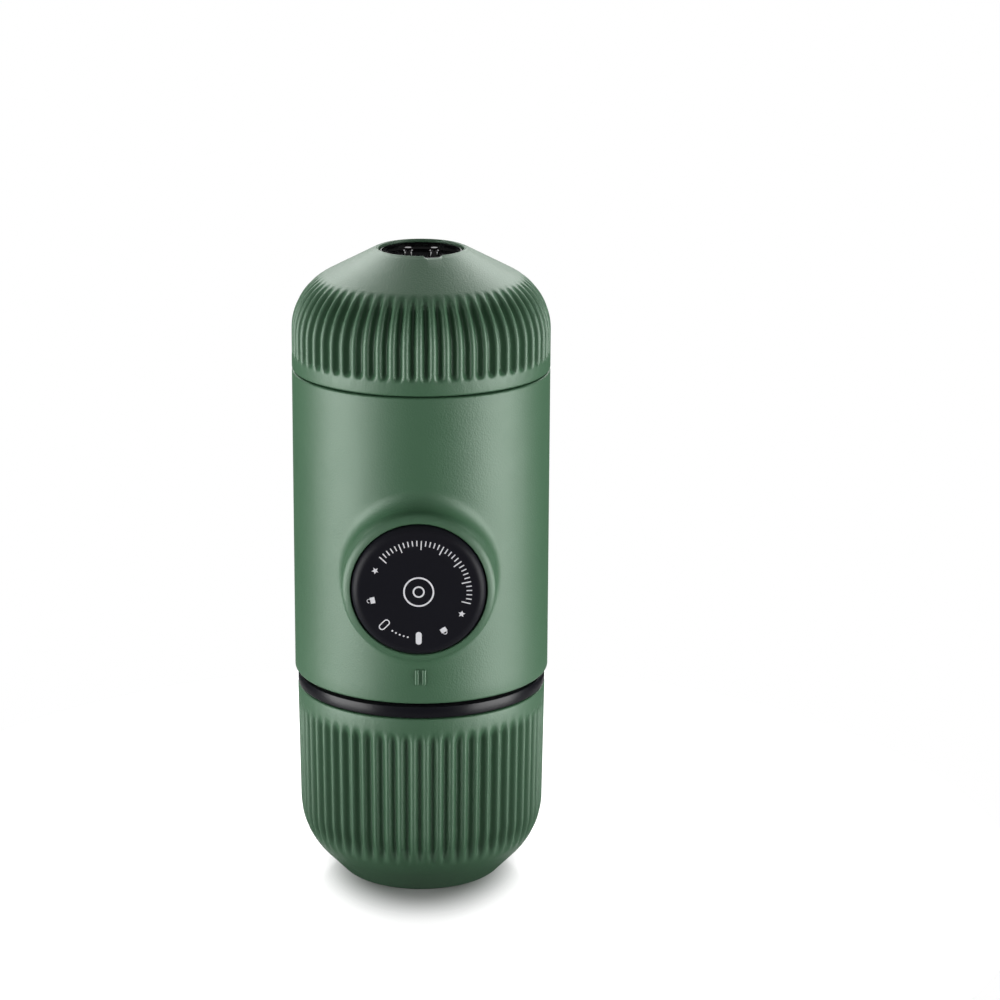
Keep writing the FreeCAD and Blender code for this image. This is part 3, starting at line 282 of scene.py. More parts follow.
# Each lamp's azimuth and elevation in degrees, then its distance, width, height and radiance.
SIDE_SOFTBOX = (70, -3, 0.75, 0.62, 0.60, 6.6)
BACK_SOFTBOX = (151, 37, 1.0, 0.46, 0.46, 7.5)
FRONT_CARD = (0, 16, 1.3, 1.9, 0.8, 0.12)


# ---- Bench tools ------------------------------------------------------------------------
def clear_selection():
    if bpy.context.mode != "OBJECT":
        bpy.ops.object.mode_set(mode="OBJECT")
    bpy.ops.object.select_all(action="DESELECT")


def pick(piece):
    clear_selection()
    piece.select_set(True)
    bpy.context.view_layer.objects.active = piece
    return piece


def named(name):
    piece = bpy.context.active_object
    piece.name = name
    piece.data.name = name
    return piece


def open_mesh(piece):
    """Opens the piece's mesh for editing, all of it selected."""
    pick(piece)
    bpy.ops.object.mode_set(mode="EDIT")
    bpy.ops.mesh.select_all(action="SELECT")


def close_seams(piece):
    """Merges doubled points and has the faces turned to the side that Blender takes for out."""
    open_mesh(piece)
    bpy.ops.mesh.remove_doubles(threshold=0.000002)
    bpy.ops.mesh.normals_make_consistent(inside=False)
    bpy.ops.object.mode_set(mode="OBJECT")


def smooth(piece, angle):
    pick(piece)
    bpy.ops.object.shade_smooth_by_angle(angle=math.radians(angle))


def settle(piece):
    """Puts the piece's place and turn into its mesh."""
    pick(piece)
    bpy.ops.object.transform_apply(location=True, rotation=True, scale=True)


def soften(piece, width, segments=3):
    """Rounds every edge sharper than 40 degrees."""
    pick(piece)
    bevel = piece.modifiers.new("edge", "BEVEL")
    bevel.width = width
    bevel.segments = segments
    bevel.limit_method = "ANGLE"
    bevel.angle_limit = math.radians(40)
    bpy.ops.object.modifier_apply(modifier=bevel.name)


def cut(piece, tool):
    """Takes the tool's form out of the piece and throws the tool away."""
    pick(piece)
    knife = piece.modifiers.new("cut", "BOOLEAN")
    knife.operation = "DIFFERENCE"
    knife.solver = "EXACT"
    knife.object = tool
    bpy.ops.object.modifier_apply(modifier=knife.name)
    bpy.data.objects.remove(tool)


def arc(centre, radius, start, end, steps):
    """Points (radius, height) along an arc, from one angle in degrees to another."""
    points = []
    for step in range(steps + 1):
        angle = math.radians(start + (end - start) * step / steps)
        points.append((centre[0] + radius * math.cos(angle), centre[1] + radius * math.sin(angle)))
    return points


def turned(name, outline, segments=160, solid=False):
    """A piece turned on the Z axis: a circle drawn out ring by ring along its outline.

    A solid one starts and ends in a flat disc, and any other outline comes back to its start.
    """
    clear_selection()
    radius, height = outline[0]
    fill = "NGON" if solid else "NOTHING"
    bpy.ops.mesh.primitive_circle_add(vertices=segments, radius=radius, fill_type=fill)
    piece = named(name)
    bpy.ops.object.mode_set(mode="EDIT")
    bpy.ops.mesh.select_all(action="SELECT")
    bpy.ops.transform.translate(value=(0, 0, height))
    for next_radius, next_height in outline[1:]:
        bpy.ops.mesh.extrude_region_move(TRANSFORM_OT_translate={"value": (0, 0, next_height - height)})
        share = next_radius / radius
        bpy.ops.transform.resize(value=(share, share, 1), center_override=(0, 0, next_height))
        radius, height = next_radius, next_height
    close_seams(piece)
    return piece


def on_knob_axis(piece):
    """Lays a piece turned on Z onto the knob's axis, its height becoming reach to the front."""
    piece.rotation_euler = (math.radians(90), 0, 0)
    piece.location = (0, 0, KNOB_Z)
    settle(piece)
    return piece


def shaped_grid(name, columns, rows, place):
    """A grid whose points are each moved to where place(column, row) says."""
    clear_selection()
    bpy.ops.mesh.primitive_grid_add(x_subdivisions=columns, y_subdivisions=rows, size=1)
    piece = named(name)
    for point in piece.data.vertices:
        column = round((point.co.x + 0.5) * columns)
        row = round((point.co.y + 0.5) * rows)
        point.co = place(column, row)
    return piece


def fit_out(piece, body, slot, finish, *stands_for):
    """Sets the piece on its body, in its finish, in place of the frame's nodes that it stands for."""
    piece.data.materials.clear()
    piece.data.materials.append(finish)
    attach(piece, body)
    if stands_for:
        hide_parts(*stands_for)
    return piece


# ---- Shared effects in the finishes -----------------------------------------------------
def new_effect(name, inputs, outputs):
    """A node group with named sockets, and its input and output nodes."""
    effect = bpy.data.node_groups.new(name, "ShaderNodeTree")
    for label, kind, value in inputs:
        socket = effect.interface.new_socket(name=label, in_out="INPUT", socket_type=kind)
        if value is not None:
            socket.default_value = value
    for label, kind in outputs:
        effect.interface.new_socket(name=label, in_out="OUTPUT", socket_type=kind)
    return effect, effect.nodes.new("NodeGroupInput"), effect.nodes.new("NodeGroupOutput")


def add_noise(tree, vector, scale, detail, factor=None):
    """Noise at a scale that is a number, or a socket times a factor."""
    noise = tree.nodes.new("ShaderNodeTexNoise")
    noise.inputs["Detail"].default_value = detail
    noise.inputs["Roughness"].default_value = 0.6
    tree.links.new(vector, noise.inputs["Vector"])
    if factor is None:
        noise.inputs["Scale"].default_value = scale
    else:
        times = tree.nodes.new("ShaderNodeMath")
        times.operation = "MULTIPLY"
        tree.links.new(scale, times.inputs[0])
        times.inputs[1].default_value = factor
        tree.links.new(times.outputs[0], noise.inputs["Scale"])
    return noise.outputs["Fac"]


def add_math(tree, operation, first, second):
    node = tree.nodes.new("ShaderNodeMath")
    node.operation = operation
    for socket, value in zip(node.inputs, (first, second)):
        if isinstance(value, (int, float)):
            socket.default_value = value
        else:
            tree.links.new(value, socket)
    return node.outputs[0]


def make_grain():
    """Fine moulding grain: pebbles with a finer tooth on them."""
    tree, source, sink = new_effect(
        "moulding grain",
        [("Vector", "NodeSocketVector", None), ("Scale", "NodeSocketFloat", 2600.0),
         ("Tooth", "NodeSocketFloat", 0.35)],
        [("Height", "NodeSocketFloat"), ("Pebbles", "NodeSocketFloat")])
    pebble = tree.nodes.new("ShaderNodeTexVoronoi")
    pebble.feature = "SMOOTH_F1"
    pebble.inputs["Smoothness"].default_value = 0.6
    tree.links.new(source.outputs["Vector"], pebble.inputs["Vector"])
    tree.links.new(source.outputs["Scale"], pebble.inputs["Scale"])
    tooth = add_noise(tree, source.outputs["Vector"], source.outputs["Scale"], 3.0, factor=1.7)
    toothed = add_math(tree, "MULTIPLY", tooth, source.outputs["Tooth"])
    height = add_math(tree, "ADD", pebble.outputs["Distance"], toothed)
    tree.links.new(height, sink.inputs["Height"])
    tree.links.new(pebble.outputs["Distance"], sink.inputs["Pebbles"])
    return tree


def make_tint():
    """Colour that drifts a little over the piece and is flecked finely."""
    tree, source, sink = new_effect(
        "drifting tint",
        [("Vector", "NodeSocketVector", None), ("Colour", "NodeSocketColor", (0.5, 0.5, 0.5, 1)),
         ("Other", "NodeSocketColor", (0.4, 0.4, 0.4, 1)), ("Drift Scale", "NodeSocketFloat", 40.0),
         ("Fleck Scale", "NodeSocketFloat", 3000.0), ("Flecks", "NodeSocketFloat", 0.25)],
        [("Colour", "NodeSocketColor")])
    drift = add_noise(tree, source.outputs["Vector"], source.outputs["Drift Scale"], 2.0, factor=1.0)
    fleck = add_noise(tree, source.outputs["Vector"], source.outputs["Fleck Scale"], 2.0, factor=1.0)
    centred = add_math(tree, "SUBTRACT", fleck, 0.5)
    flecks = add_math(tree, "MULTIPLY", centred, source.outputs["Flecks"])
    share = add_math(tree, "ADD", drift, flecks)
    mix = tree.nodes.new("ShaderNodeMix")
    mix.data_type = "RGBA"
    tree.links.new(share, mix.inputs["Factor"])
    tree.links.new(source.outputs["Colour"], mix.inputs["A"])
    tree.links.new(source.outputs["Other"], mix.inputs["B"])
    tree.links.new(mix.outputs["Result"], sink.inputs["Colour"])
    return tree


def make_handling():
    """Gloss that hands have changed: broad smooth smudges and a fine break-up."""
    tree, source, sink = new_effect(
        "handled gloss",
        [("Vector", "NodeSocketVector", None), ("Roughness", "NodeSocketFloat", 0.5),
         ("Smudge", "NodeSocketFloat", 0.06), ("Scale", "NodeSocketFloat", 90.0)],
        [("Roughness", "NodeSocketFloat")])
    broad = add_noise(tree, source.outputs["Vector"], source.outputs["Scale"], 3.0, factor=1.0)
    fine = add_noise(tree, source.outputs["Vector"], source.outputs["Scale"], 2.0, factor=24.0)
    both = add_math(tree, "ADD", broad, fine)
    centred = add_math(tree, "SUBTRACT", both, 1.0)
    smudged = add_math(tree, "MULTIPLY", centred, source.outputs["Smudge"])
    rough = add_math(tree, "ADD", source.outputs["Roughness"], smudged)
    tree.links.new(rough, sink.inputs["Roughness"])
    return tree


def make_brushing():
    """Brush lines drawn round the Z axis or along it, as its Stretch says."""
    tree, source, sink = new_effect(
        "brush lines",
        [("Vector", "NodeSocketVector", None), ("Stretch", "NodeSocketVector", (1, 1, 30)),
         ("Scale", "NodeSocketFloat", 220.0), ("Roughness", "NodeSocketFloat", 0.3)],
        [("Height", "NodeSocketFloat"), ("Roughness", "NodeSocketFloat")])
    drawn = tree.nodes.new("ShaderNodeVectorMath")
    drawn.operation = "MULTIPLY"
    tree.links.new(source.outputs["Vector"], drawn.inputs[0])
    tree.links.new(source.outputs["Stretch"], drawn.inputs[1])
    lines = add_noise(tree, drawn.outputs[0], source.outputs["Scale"], 5.0, factor=1.0)
    centred = add_math(tree, "SUBTRACT", lines, 0.5)
    spread = add_math(tree, "MULTIPLY", centred, 0.3)
    rough = add_math(tree, "ADD", source.outputs["Roughness"], spread)
    tree.links.new(lines, sink.inputs["Height"])
    tree.links.new(rough, sink.inputs["Roughness"])
    return tree


GRAIN = make_grain()
TINT = make_tint()
HANDLING = make_handling()
BRUSHING = make_brushing()


# ---- Finishes ---------------------------------------------------------------------------
class Finish:
    """A material under way: its tree, its shader and the place on the piece."""

    def __init__(self, name):
        self.material = bpy.data.materials.new(name)
        self.material.use_nodes = True
        self.tree = self.material.node_tree
        self.shader = self.tree.nodes["Principled BSDF"]
        self.place = self.tree.nodes.new("ShaderNodeTexCoord").outputs["Object"]

    def effect(self, group, **values):
        node = self.tree.nodes.new("ShaderNodeGroup")
        node.node_tree = group
        self.tree.links.new(self.place, node.inputs["Vector"])
        for label, value in values.items():
            node.inputs[label.replace("_", " ")].default_value = value
        return node

    def feed(self, output, label):
        self.tree.links.new(output, self.shader.inputs[label])

    def bump(self, height, strength, distance):
        node = self.tree.nodes.new("ShaderNodeBump")
        node.inputs["Strength"].default_value = strength
        node.inputs["Distance"].default_value = distance
        self.tree.links.new(height, node.inputs["Height"])
        self.feed(node.outputs["Normal"], "Normal")

    def plain(self, **values):
        for label, value in values.items():
            self.shader.inputs[label.replace("_", " ")].default_value = value


def moulded(name, colour, other, roughness, grain_scale, grain_strength, specular=0.5, smudge=0.06,
            sheen_colour=(1.0, 1.0, 1.0)):
    """Grained moulded plastic."""
    finish = Finish(name)
    tint = finish.effect(TINT, Colour=(*colour, 1), Other=(*other, 1))
    finish.feed(tint.outputs["Colour"], "Base Color")
    gloss = finish.effect(HANDLING, Roughness=roughness, Smudge=smudge)
    finish.feed(gloss.outputs["Roughness"], "Roughness")
    grain = finish.effect(GRAIN, Scale=grain_scale)
    finish.bump(grain.outputs["Height"], grain_strength, GRAIN_RELIEF)
    finish.plain(Specular_IOR_Level=specular, Specular_Tint=(*sheen_colour, 1))
    return finish.material


def brushed_metal(name, colour, other, roughness, stretch, scale):
    finish = Finish(name)
    tint = finish.effect(TINT, Colour=(*colour, 1), Other=(*other, 1), Flecks=0.1)
    finish.feed(tint.outputs["Colour"], "Base Color")
    lines = finish.effect(BRUSHING, Stretch=stretch, Scale=scale, Roughness=roughness)
    finish.feed(lines.outputs["Roughness"], "Roughness")
    finish.bump(lines.outputs["Height"], 0.15, BRUSH_RELIEF)
    finish.plain(Metallic=1.0)
    return finish.material


def silicone_rubber():
    finish = Finish("milky silicone")
    tint = finish.effect(TINT, Colour=(0.50, 0.50, 0.47, 1), Other=(0.42, 0.42, 0.40, 1), Flecks=0.1)
    finish.feed(tint.outputs["Colour"], "Base Color")
    gloss = finish.effect(HANDLING, Roughness=0.48, Smudge=0.10)
    finish.feed(gloss.outputs["Roughness"], "Roughness")
    grain = finish.effect(GRAIN, Scale=900.0, Tooth=0.6)
    finish.bump(grain.outputs["Height"], 0.10, SILICONE_RELIEF)
    finish.plain(Subsurface_Weight=0.25, Subsurface_Scale=0.002)
    return finish.material


SOFT_GREEN = moulded("soft green shell", (0.038, 0.112, 0.053), (0.032, 0.097, 0.045), 0.51, 2300.0, 0.48,
                     specular=1.0, sheen_colour=(0.88, 1.0, 0.91))
SATIN_BLACK = moulded("satin black moulding", (0.008, 0.008, 0.010), (0.012, 0.012, 0.014), 0.42,
                      3000.0, 0.16, specular=0.4)
TANK_BLACK = moulded("satin black tank", (0.003, 0.003, 0.005), (0.005, 0.005, 0.008), 0.30, 3000.0, 0.10,
                     specular=0.3)
KNOB_BLACK = moulded("knob black", (0.007, 0.007, 0.010), (0.009, 0.009, 0.013), 0.42, 3600.0, 0.16,
                     specular=0.14)
GLOSS_BLACK = moulded("gloss black outlet", (0.006, 0.006, 0.007), (0.009, 0.009, 0.010), 0.10, 400.0, 0.02,
                      smudge=0.03)
NYLON = moulded("pale nylon", (0.50, 0.50, 0.47), (0.42, 0.42, 0.40), 0.48, 2200.0, 0.14)
PRINT = moulded("pale print", (0.76, 0.76, 0.79), (0.68, 0.68, 0.71), 0.55, 5200.0, 0.12)
STEEL = brushed_metal("brushed steel", (0.60, 0.60, 0.61), (0.50, 0.50, 0.51), 0.26, (1.0, 1.0, 30.0), 220.0)
SPRING_STEEL = brushed_metal("drawn spring wire", (0.45, 0.45, 0.47), (0.34, 0.34, 0.36), 0.34,
                             (8.0, 8.0, 8.0), 400.0)
SILICONE = silicone_rubber()

FINISHES = {
    "green_shell": SOFT_GREEN, "black_plastic": SATIN_BLACK, "gloss_black": GLOSS_BLACK,
    "knob_black": KNOB_BLACK, "tank_black": TANK_BLACK, "pump_plastic": NYLON, "steel": STEEL,
    "spring_steel": SPRING_STEEL, "silicone": SILICONE,
}


# ---- Fluted shells ----------------------------------------------------------------------
def plain_rows(points):
    """Rows without flutes."""
    return [(radius, height, 0.0, 0.0) for radius, height in points]


def fluted_row(radius, height, lean, share):
    """A row through the flutes, at a share of the way from their end to full depth."""
    share = min(max(share, 0.0), 1.0)
    return (radius, height, lean, math.sin(math.pi / 2 * share) ** 2)


def across_pitch(section):
    """(share of the half pitch, depth) from one crest's top to the next crest's."""
    reach, slope = section[0]
    depth = 0.0
    left = [(reach - 1, depth)]
    for next_reach, next_slope in section[1:]:
        rise = (math.tan(math.radians(slope)) + math.tan(math.radians(next_slope))) / 2
        depth += rise * (next_reach - reach) * HALF_PITCH
        reach, slope = next_reach, next_slope
        left.append((reach - 1, depth))
    right = [(-reach, depth) for reach, depth in reversed(left[:-1])]
    return left + right


def fluted_shell(name, rows, section, middle):
    """One pitch of the wall, spun into all the flutes and closed round."""
    pitch = across_pitch(section)

    def place(column, row):
        radius, height, lean, share = rows[row]
        reach, depth = pitch[column]
        angle = middle + reach * math.pi / FLUTES
        radius -= depth * share * math.cos(lean)
        height -= depth * share * math.sin(lean)
        return Vector((radius * math.cos(angle), radius * math.sin(angle), height))

    piece = shaped_grid(name, len(pitch) - 1, len(rows) - 1, place)
    open_mesh(piece)
    bpy.ops.mesh.spin(steps=FLUTES - 1, dupli=True, angle=2 * math.pi * (FLUTES - 1) / FLUTES,
                      center=(0, 0, 0), axis=(0, 0, 1))
    bpy.ops.object.mode_set(mode="OBJECT")
    close_seams(piece)
    return piece


def head_cone_angle():
    """The top cone's outward normal, in radians above the horizontal."""
    across = LIP_RADIUS - SHOULDER_CENTRE
    share = SHOULDER_RADIUS / math.hypot(across, SHOULDER_RISE)
    return math.atan2(SHOULDER_RISE, across) - math.acos(share)


def head_rows():
    """The portafilter shell's section: foot, fluted wall, shoulder, cone, lip and inside."""
    cone = head_cone_angle()
    corner = (BODY_RADIUS - EDGE_ROUND, HEAD_FOOT + EDGE_ROUND)
    rows = plain_rows([(BODY_RADIUS - HEAD_WALL, HEAD_FOOT)] + arc(corner, EDGE_ROUND, -90, 0, EDGE_STEPS))
    for step in range(END_STEPS + 1):
        share = step / END_STEPS
        rows.append(fluted_row(BODY_RADIUS, HEAD_FLUTE_START + share * HEAD_FLUTE_RUN, 0.0, share))
    for step in range(SHOULDER_STEPS + 1):
        lean = cone * step / SHOULDER_STEPS
        radius = SHOULDER_CENTRE + SHOULDER_RADIUS * math.cos(lean)
        height = SHOULDER_Z + SHOULDER_RADIUS * math.sin(lean)
        rows.append(fluted_row(radius, height, lean, (HEAD_FLUTE_END - lean) / HEAD_END_RUN))
    inside = SHOULDER_RADIUS - HEAD_WALL
    notch_foot = LIP_RADIUS + (NOTCH_DEPTH - LIP_BEVEL) * math.tan(cone)
    below_notch = CONE_ROWS + tuple(notch_foot + out for out in NOTCH_ROWS)
    rows += plain_rows([(radius, cone_height(cone, radius)) for radius in below_notch])
    rows += plain_rows([(LIP_RADIUS, HEAD_TOP - LIP_BEVEL), (LIP_RADIUS - LIP_BEVEL, HEAD_TOP),
                        (OPENING_RADIUS + LIP_BEVEL, HEAD_TOP), (OPENING_RADIUS, HEAD_TOP - LIP_BEVEL),
                        (OPENING_RADIUS, HEAD_TOP - NOTCH_DEPTH),
                        (OPENING_RADIUS, cone_height(cone, OPENING_RADIUS, inside))])
    rows += plain_rows(arc((SHOULDER_CENTRE, SHOULDER_Z), inside, math.degrees(cone), 0, 8))
    rows += plain_rows([(BODY_RADIUS - HEAD_WALL, HEAD_FOOT)])
    return rows


def cone_height(cone, radius, shoulder=SHOULDER_RADIUS):
    """Height of the cone at a radius, or of its inside where the shoulder is the smaller inner one."""
    return SHOULDER_Z + (shoulder - math.cos(cone) * (radius - SHOULDER_CENTRE)) / math.sin(cone)


def cut_lip_notch(piece):
    """Presses the finger notch into the lip, its ends eased."""
    middle = math.radians(NOTCH_ANGLE)
    for point in piece.data.vertices:
        side = abs(point.co.y * math.cos(middle) - point.co.x * math.sin(middle))
        ahead = point.co.x * math.cos(middle) + point.co.y * math.sin(middle)
        ease = min(max((NOTCH_HALF_WIDTH - side) / NOTCH_EASE, 0.0), 1.0)
        floor = HEAD_TOP - NOTCH_DEPTH * math.sin(math.pi / 2 * ease)
        if ahead > 0 and ease > 0 and point.co.z > floor:
            point.co.z = floor


def make_portafilter_shell():
    piece = fluted_shell("fluted_head_shell", head_rows(), HEAD_SECTION, math.radians(-90) + math.pi / FLUTES)
    cut_lip_notch(piece)
    smooth(piece, 50)
    return fit_out(piece, "portafilter", "green_shell", SOFT_GREEN, "portafilter_shell")


def cup_section(inset):
    """The cup's dome, from its cone's foot up to the wall, offset inwards."""
    radius = CUP_DOME_RADIUS - inset
    tilt = math.radians(CUP_DOME_ANGLE)
    start = (CUP_DOME_CENTRE + radius * math.cos(tilt), CUP_DOME_Z - radius * math.sin(tilt))
    foot = (start[0] - (start[1] - inset) * math.tan(tilt), inset)
    return foot, arc((CUP_DOME_CENTRE, CUP_DOME_Z), radius, -CUP_DOME_ANGLE, 0, INNER_STEPS)


def cup_rows():
    """The cup's section, from the middle of its foot round the rim to the middle of its floor."""
    foot = cup_section(0.0)[0]
    inner_foot, inner_dome = cup_section(CUP_WALL)
    slope = math.radians(90 - CUP_DOME_ANGLE)
    rows = plain_rows([(CUP_EYE, 0.0), (foot[0] - CUP_FOOT_EASE, 0.0), (foot[0], CUP_FOOT_RISE),
                       (foot[0] + CUP_FOOT_EASE * math.cos(slope), CUP_FOOT_EASE * math.sin(slope))])
    for step in range(CUP_DOME_STEPS + 1):
        lean = math.radians(-CUP_DOME_ANGLE * (1 - step / CUP_DOME_STEPS))
        radius = CUP_DOME_CENTRE + CUP_DOME_RADIUS * math.cos(lean)
        height = CUP_DOME_Z + CUP_DOME_RADIUS * math.sin(lean)
        rows.append(fluted_row(radius, height, lean, (CUP_FLUTE_START + lean) / CUP_START_RUN))
    for step in range(END_STEPS + 1):
        share = 1 - step / END_STEPS
        height = CUP_FLUTE_END - share * CUP_FLUTE_RUN
        rows.append(fluted_row(cup_radius(height), height, 0.0, share))
    outer_corner = (CUP_RIM_RADIUS - EDGE_ROUND, CUP_TOP - EDGE_ROUND)
    inner_corner = (CUP_RIM_RADIUS - CUP_WALL + EDGE_ROUND, CUP_TOP - EDGE_ROUND)
    rows += plain_rows(arc(outer_corner, EDGE_ROUND, 0, 90, EDGE_STEPS))
    rows += plain_rows(arc(inner_corner, EDGE_ROUND, 90, 180, EDGE_STEPS))
    rows += plain_rows(reversed(inner_dome))
    rows += plain_rows([inner_foot, (CUP_EYE, CUP_WALL)])
    return rows


def cup_radius(height):
    """Radius of the cup's straight wall, which widens towards the rim."""
    return CUP_RIM_RADIUS - CUP_DRAFT * (CUP_TOP - height) / (CUP_TOP - CUP_DOME_Z)


def fill_eyes(piece):
    """Closes the small round holes left on the axis."""
    pick(piece)
    bpy.ops.object.mode_set(mode="EDIT")
    bpy.ops.mesh.select_mode(type="EDGE")
    bpy.ops.mesh.select_all(action="DESELECT")
    bpy.ops.mesh.select_non_manifold(extend=False, use_wire=False, use_boundary=True,
                                     use_multi_face=False, use_non_contiguous=False, use_verts=False)
    bpy.ops.mesh.fill_holes(sides=0)
    bpy.ops.mesh.select_mode(type="VERT")
    bpy.ops.object.mode_set(mode="OBJECT")


def make_cup():
    piece = fluted_shell("fluted_cup", cup_rows(), CUP_SECTION, math.radians(-90))
    fill_eyes(piece)
    close_seams(piece)
    smooth(piece, 50)
    return fit_out(piece, "cup", "green_shell", SOFT_GREEN, "cup")


# ---- Main shell -------------------------------------------------------------------------
def window_point(column, row):
    """(angle, height) of a point on the wall's grid, counted from the window's lower left."""
    angle = math.radians(-90 + (column - WINDOW_COLUMNS / 2) * 360 / WALL_COLUMNS)
    return angle, KNOB_Z - WINDOW_HEIGHT / 2 + row * WINDOW_HEIGHT / WINDOW_ROWS


def window_edge(step):
    """The window's outline, walked upwards from the middle of its right side."""
    half = WINDOW_ROWS // 2
    step %= BOSS_STEPS
    if step <= half:
        return window_point(WINDOW_COLUMNS, half + step)
    step -= half
    if step <= WINDOW_COLUMNS:
        return window_point(WINDOW_COLUMNS - step, WINDOW_ROWS)
    step -= WINDOW_COLUMNS
    if step <= WINDOW_ROWS:
        return window_point(0, WINDOW_ROWS - step)
    step -= WINDOW_ROWS
    if step <= WINDOW_COLUMNS:
        return window_point(step, 0)
    return window_point(WINDOW_COLUMNS, step - WINDOW_COLUMNS)


def flare_centre(turn):
    """Where a ball that rolls in the corner of body and boss has its middle."""
    across = (BOSS_RADIUS + BOSS_FLARE) * math.cos(turn)
    out = math.sqrt((BODY_RADIUS + BOSS_FLARE) ** 2 - across ** 2)
    return Vector((across, -out, KNOB_Z + (BOSS_RADIUS + BOSS_FLARE) * math.sin(turn)))


def flare_point(turn, share):
    """On that ball, from its touch on the body at 0 to its touch on the boss at 1."""
    middle = flare_centre(turn)
    to_body = Vector((-middle.x, -middle.y, 0)).normalized()
    to_boss = Vector((-math.cos(turn), 0, -math.sin(turn)))
    return middle + BOSS_FLARE * to_body.slerp(to_boss, share)


def on_wall(step, share):
    """On the body's wall, from the window's edge at 0 to the flare's foot at 1."""
    turn = 2 * math.pi * step / BOSS_STEPS
    edge_angle, edge_height = window_edge(step)
    foot = flare_point(turn, 0.0)
    foot_angle = math.atan2(foot.y, foot.x)
    angle = edge_angle + (foot_angle - edge_angle) * share
    height = edge_height + (foot.z - edge_height) * share
    return Vector((BODY_RADIUS * math.cos(angle), BODY_RADIUS * math.sin(angle), height))


def boss_profile():
    """(radius, reach) from the boss's wall over its rim and down the well."""
    start = math.radians(BOSS_CROWN_START)
    width = (BOSS_RADIUS - WELL_RADIUS - BOSS_LIP) / (1 - math.cos(start))
    height = BOSS_CROWN_FALL / math.sin(start)
    crown = [(BOSS_RADIUS - width * (1 - across), BOSS_FRONT - BOSS_CROWN_FALL + height * out)
             for across, out in arc((0, 0), 1.0, 0, BOSS_CROWN_START, BOSS_CROWN_STEPS)]
    return crown + [(WELL_RADIUS, BOSS_FRONT - BOSS_LIP), (WELL_RADIUS, PLUG_BACK - WELL_INTO_PLUG)]


def boss_rings():
    """A function of the step round the boss for each ring, from the window's edge to the well."""
    rings = [lambda step, share=share: on_wall(step, share) for share in WALL_SHARES]
    for number in range(FLARE_STEPS + 1):
        share = number / FLARE_STEPS
        rings.append(lambda step, share=share: flare_point(2 * math.pi * step / BOSS_STEPS, share))
    for radius, reach in boss_profile():
        rings.append(lambda step, radius=radius, reach=reach: Vector((
            radius * math.cos(2 * math.pi * step / BOSS_STEPS), -reach,
            KNOB_Z + radius * math.sin(2 * math.pi * step / BOSS_STEPS))))
    return rings


def make_boss_skin():
    rings = boss_rings()
    piece = shaped_grid("boss_skin", BOSS_STEPS, len(rings) - 1, lambda step, row: rings[row](step))
    open_mesh(piece)
    bpy.ops.mesh.remove_doubles(threshold=0.000002)
    bpy.ops.mesh.select_mode(type="VERT")
    bpy.ops.mesh.select_all(action="DESELECT")
    bpy.ops.object.mode_set(mode="OBJECT")
    for point in piece.data.vertices:
        off_axis = math.hypot(point.co.x, point.co.z - KNOB_Z)
        point.select = off_axis < WELL_RADIUS + 0.0001 and point.co.y > -PLUG_BACK
    bpy.ops.object.mode_set(mode="EDIT")
    bpy.ops.mesh.edge_face_add()
    bpy.ops.object.mode_set(mode="OBJECT")
    return piece


def body_outline():
    """The body's wall with its rounded ends and the window's rows."""
    low = KNOB_Z - WINDOW_HEIGHT / 2
    rows = [(BODY_RADIUS, low + row * WINDOW_HEIGHT / WINDOW_ROWS) for row in range(WINDOW_ROWS + 1)]
    inner = BODY_RADIUS - EDGE_ROUND
    foot = arc((inner, BODY_FOOT + EDGE_ROUND), EDGE_ROUND, -90, 0, EDGE_STEPS)
    head = arc((inner, BODY_TOP - EDGE_ROUND), EDGE_ROUND, 0, 90, EDGE_STEPS)
    between = [(BODY_RADIUS, BODY_TOP - below) for below in ROWS_UNDER_SEAM]
    return foot + rows + between + head


def open_window(piece):
    """Takes out the wall's faces where the boss's skin goes in."""
    reach = math.radians(WINDOW_COLUMNS / 2 * 360 / WALL_COLUMNS)
    pick(piece)
    bpy.ops.object.mode_set(mode="EDIT")
    bpy.ops.mesh.select_mode(type="FACE")
    bpy.ops.mesh.select_all(action="DESELECT")
    bpy.ops.object.mode_set(mode="OBJECT")
    for face in piece.data.polygons:
        middle = face.center
        turn = abs(math.atan2(middle.x, -middle.y))
        inside = turn < reach and abs(middle.z - KNOB_Z) < WINDOW_HEIGHT / 2
        face.select = inside and len(face.vertices) == 4
    bpy.ops.object.mode_set(mode="EDIT")
    bpy.ops.mesh.delete(type="FACE")
    bpy.ops.mesh.select_mode(type="VERT")
    bpy.ops.object.mode_set(mode="OBJECT")


def join(first, *others):
    pick(first)
    for other in others:
        other.select_set(True)
    bpy.ops.object.join()
    return first


def make_body_core():
    """What is hollow inside the body, with the boss's plug left standing."""
    core = turned("body_core", [(BODY_BORE, BODY_FOOT - CORE_OVERCUT), (BODY_BORE, BODY_TOP + CORE_OVERCUT)],
                  segments=FINE_SEGMENTS, solid=True)
    plug = turned("plug", [(BOSS_RADIUS, PLUG_BACK), (BOSS_RADIUS, KNOB_FRONT)],
                  segments=FINE_SEGMENTS, solid=True)
    cut(core, on_knob_axis(plug))
    return core


def make_main_shell():
    wall = turned("main_shell", body_outline(), segments=WALL_COLUMNS, solid=True)
    open_window(wall)
    piece = join(wall, make_boss_skin())
    close_seams(piece)
    cut(piece, make_body_core())
    smooth(piece, 35)
    return fit_out(piece, "main_body", "green_shell", SOFT_GREEN, "main_body_shell")


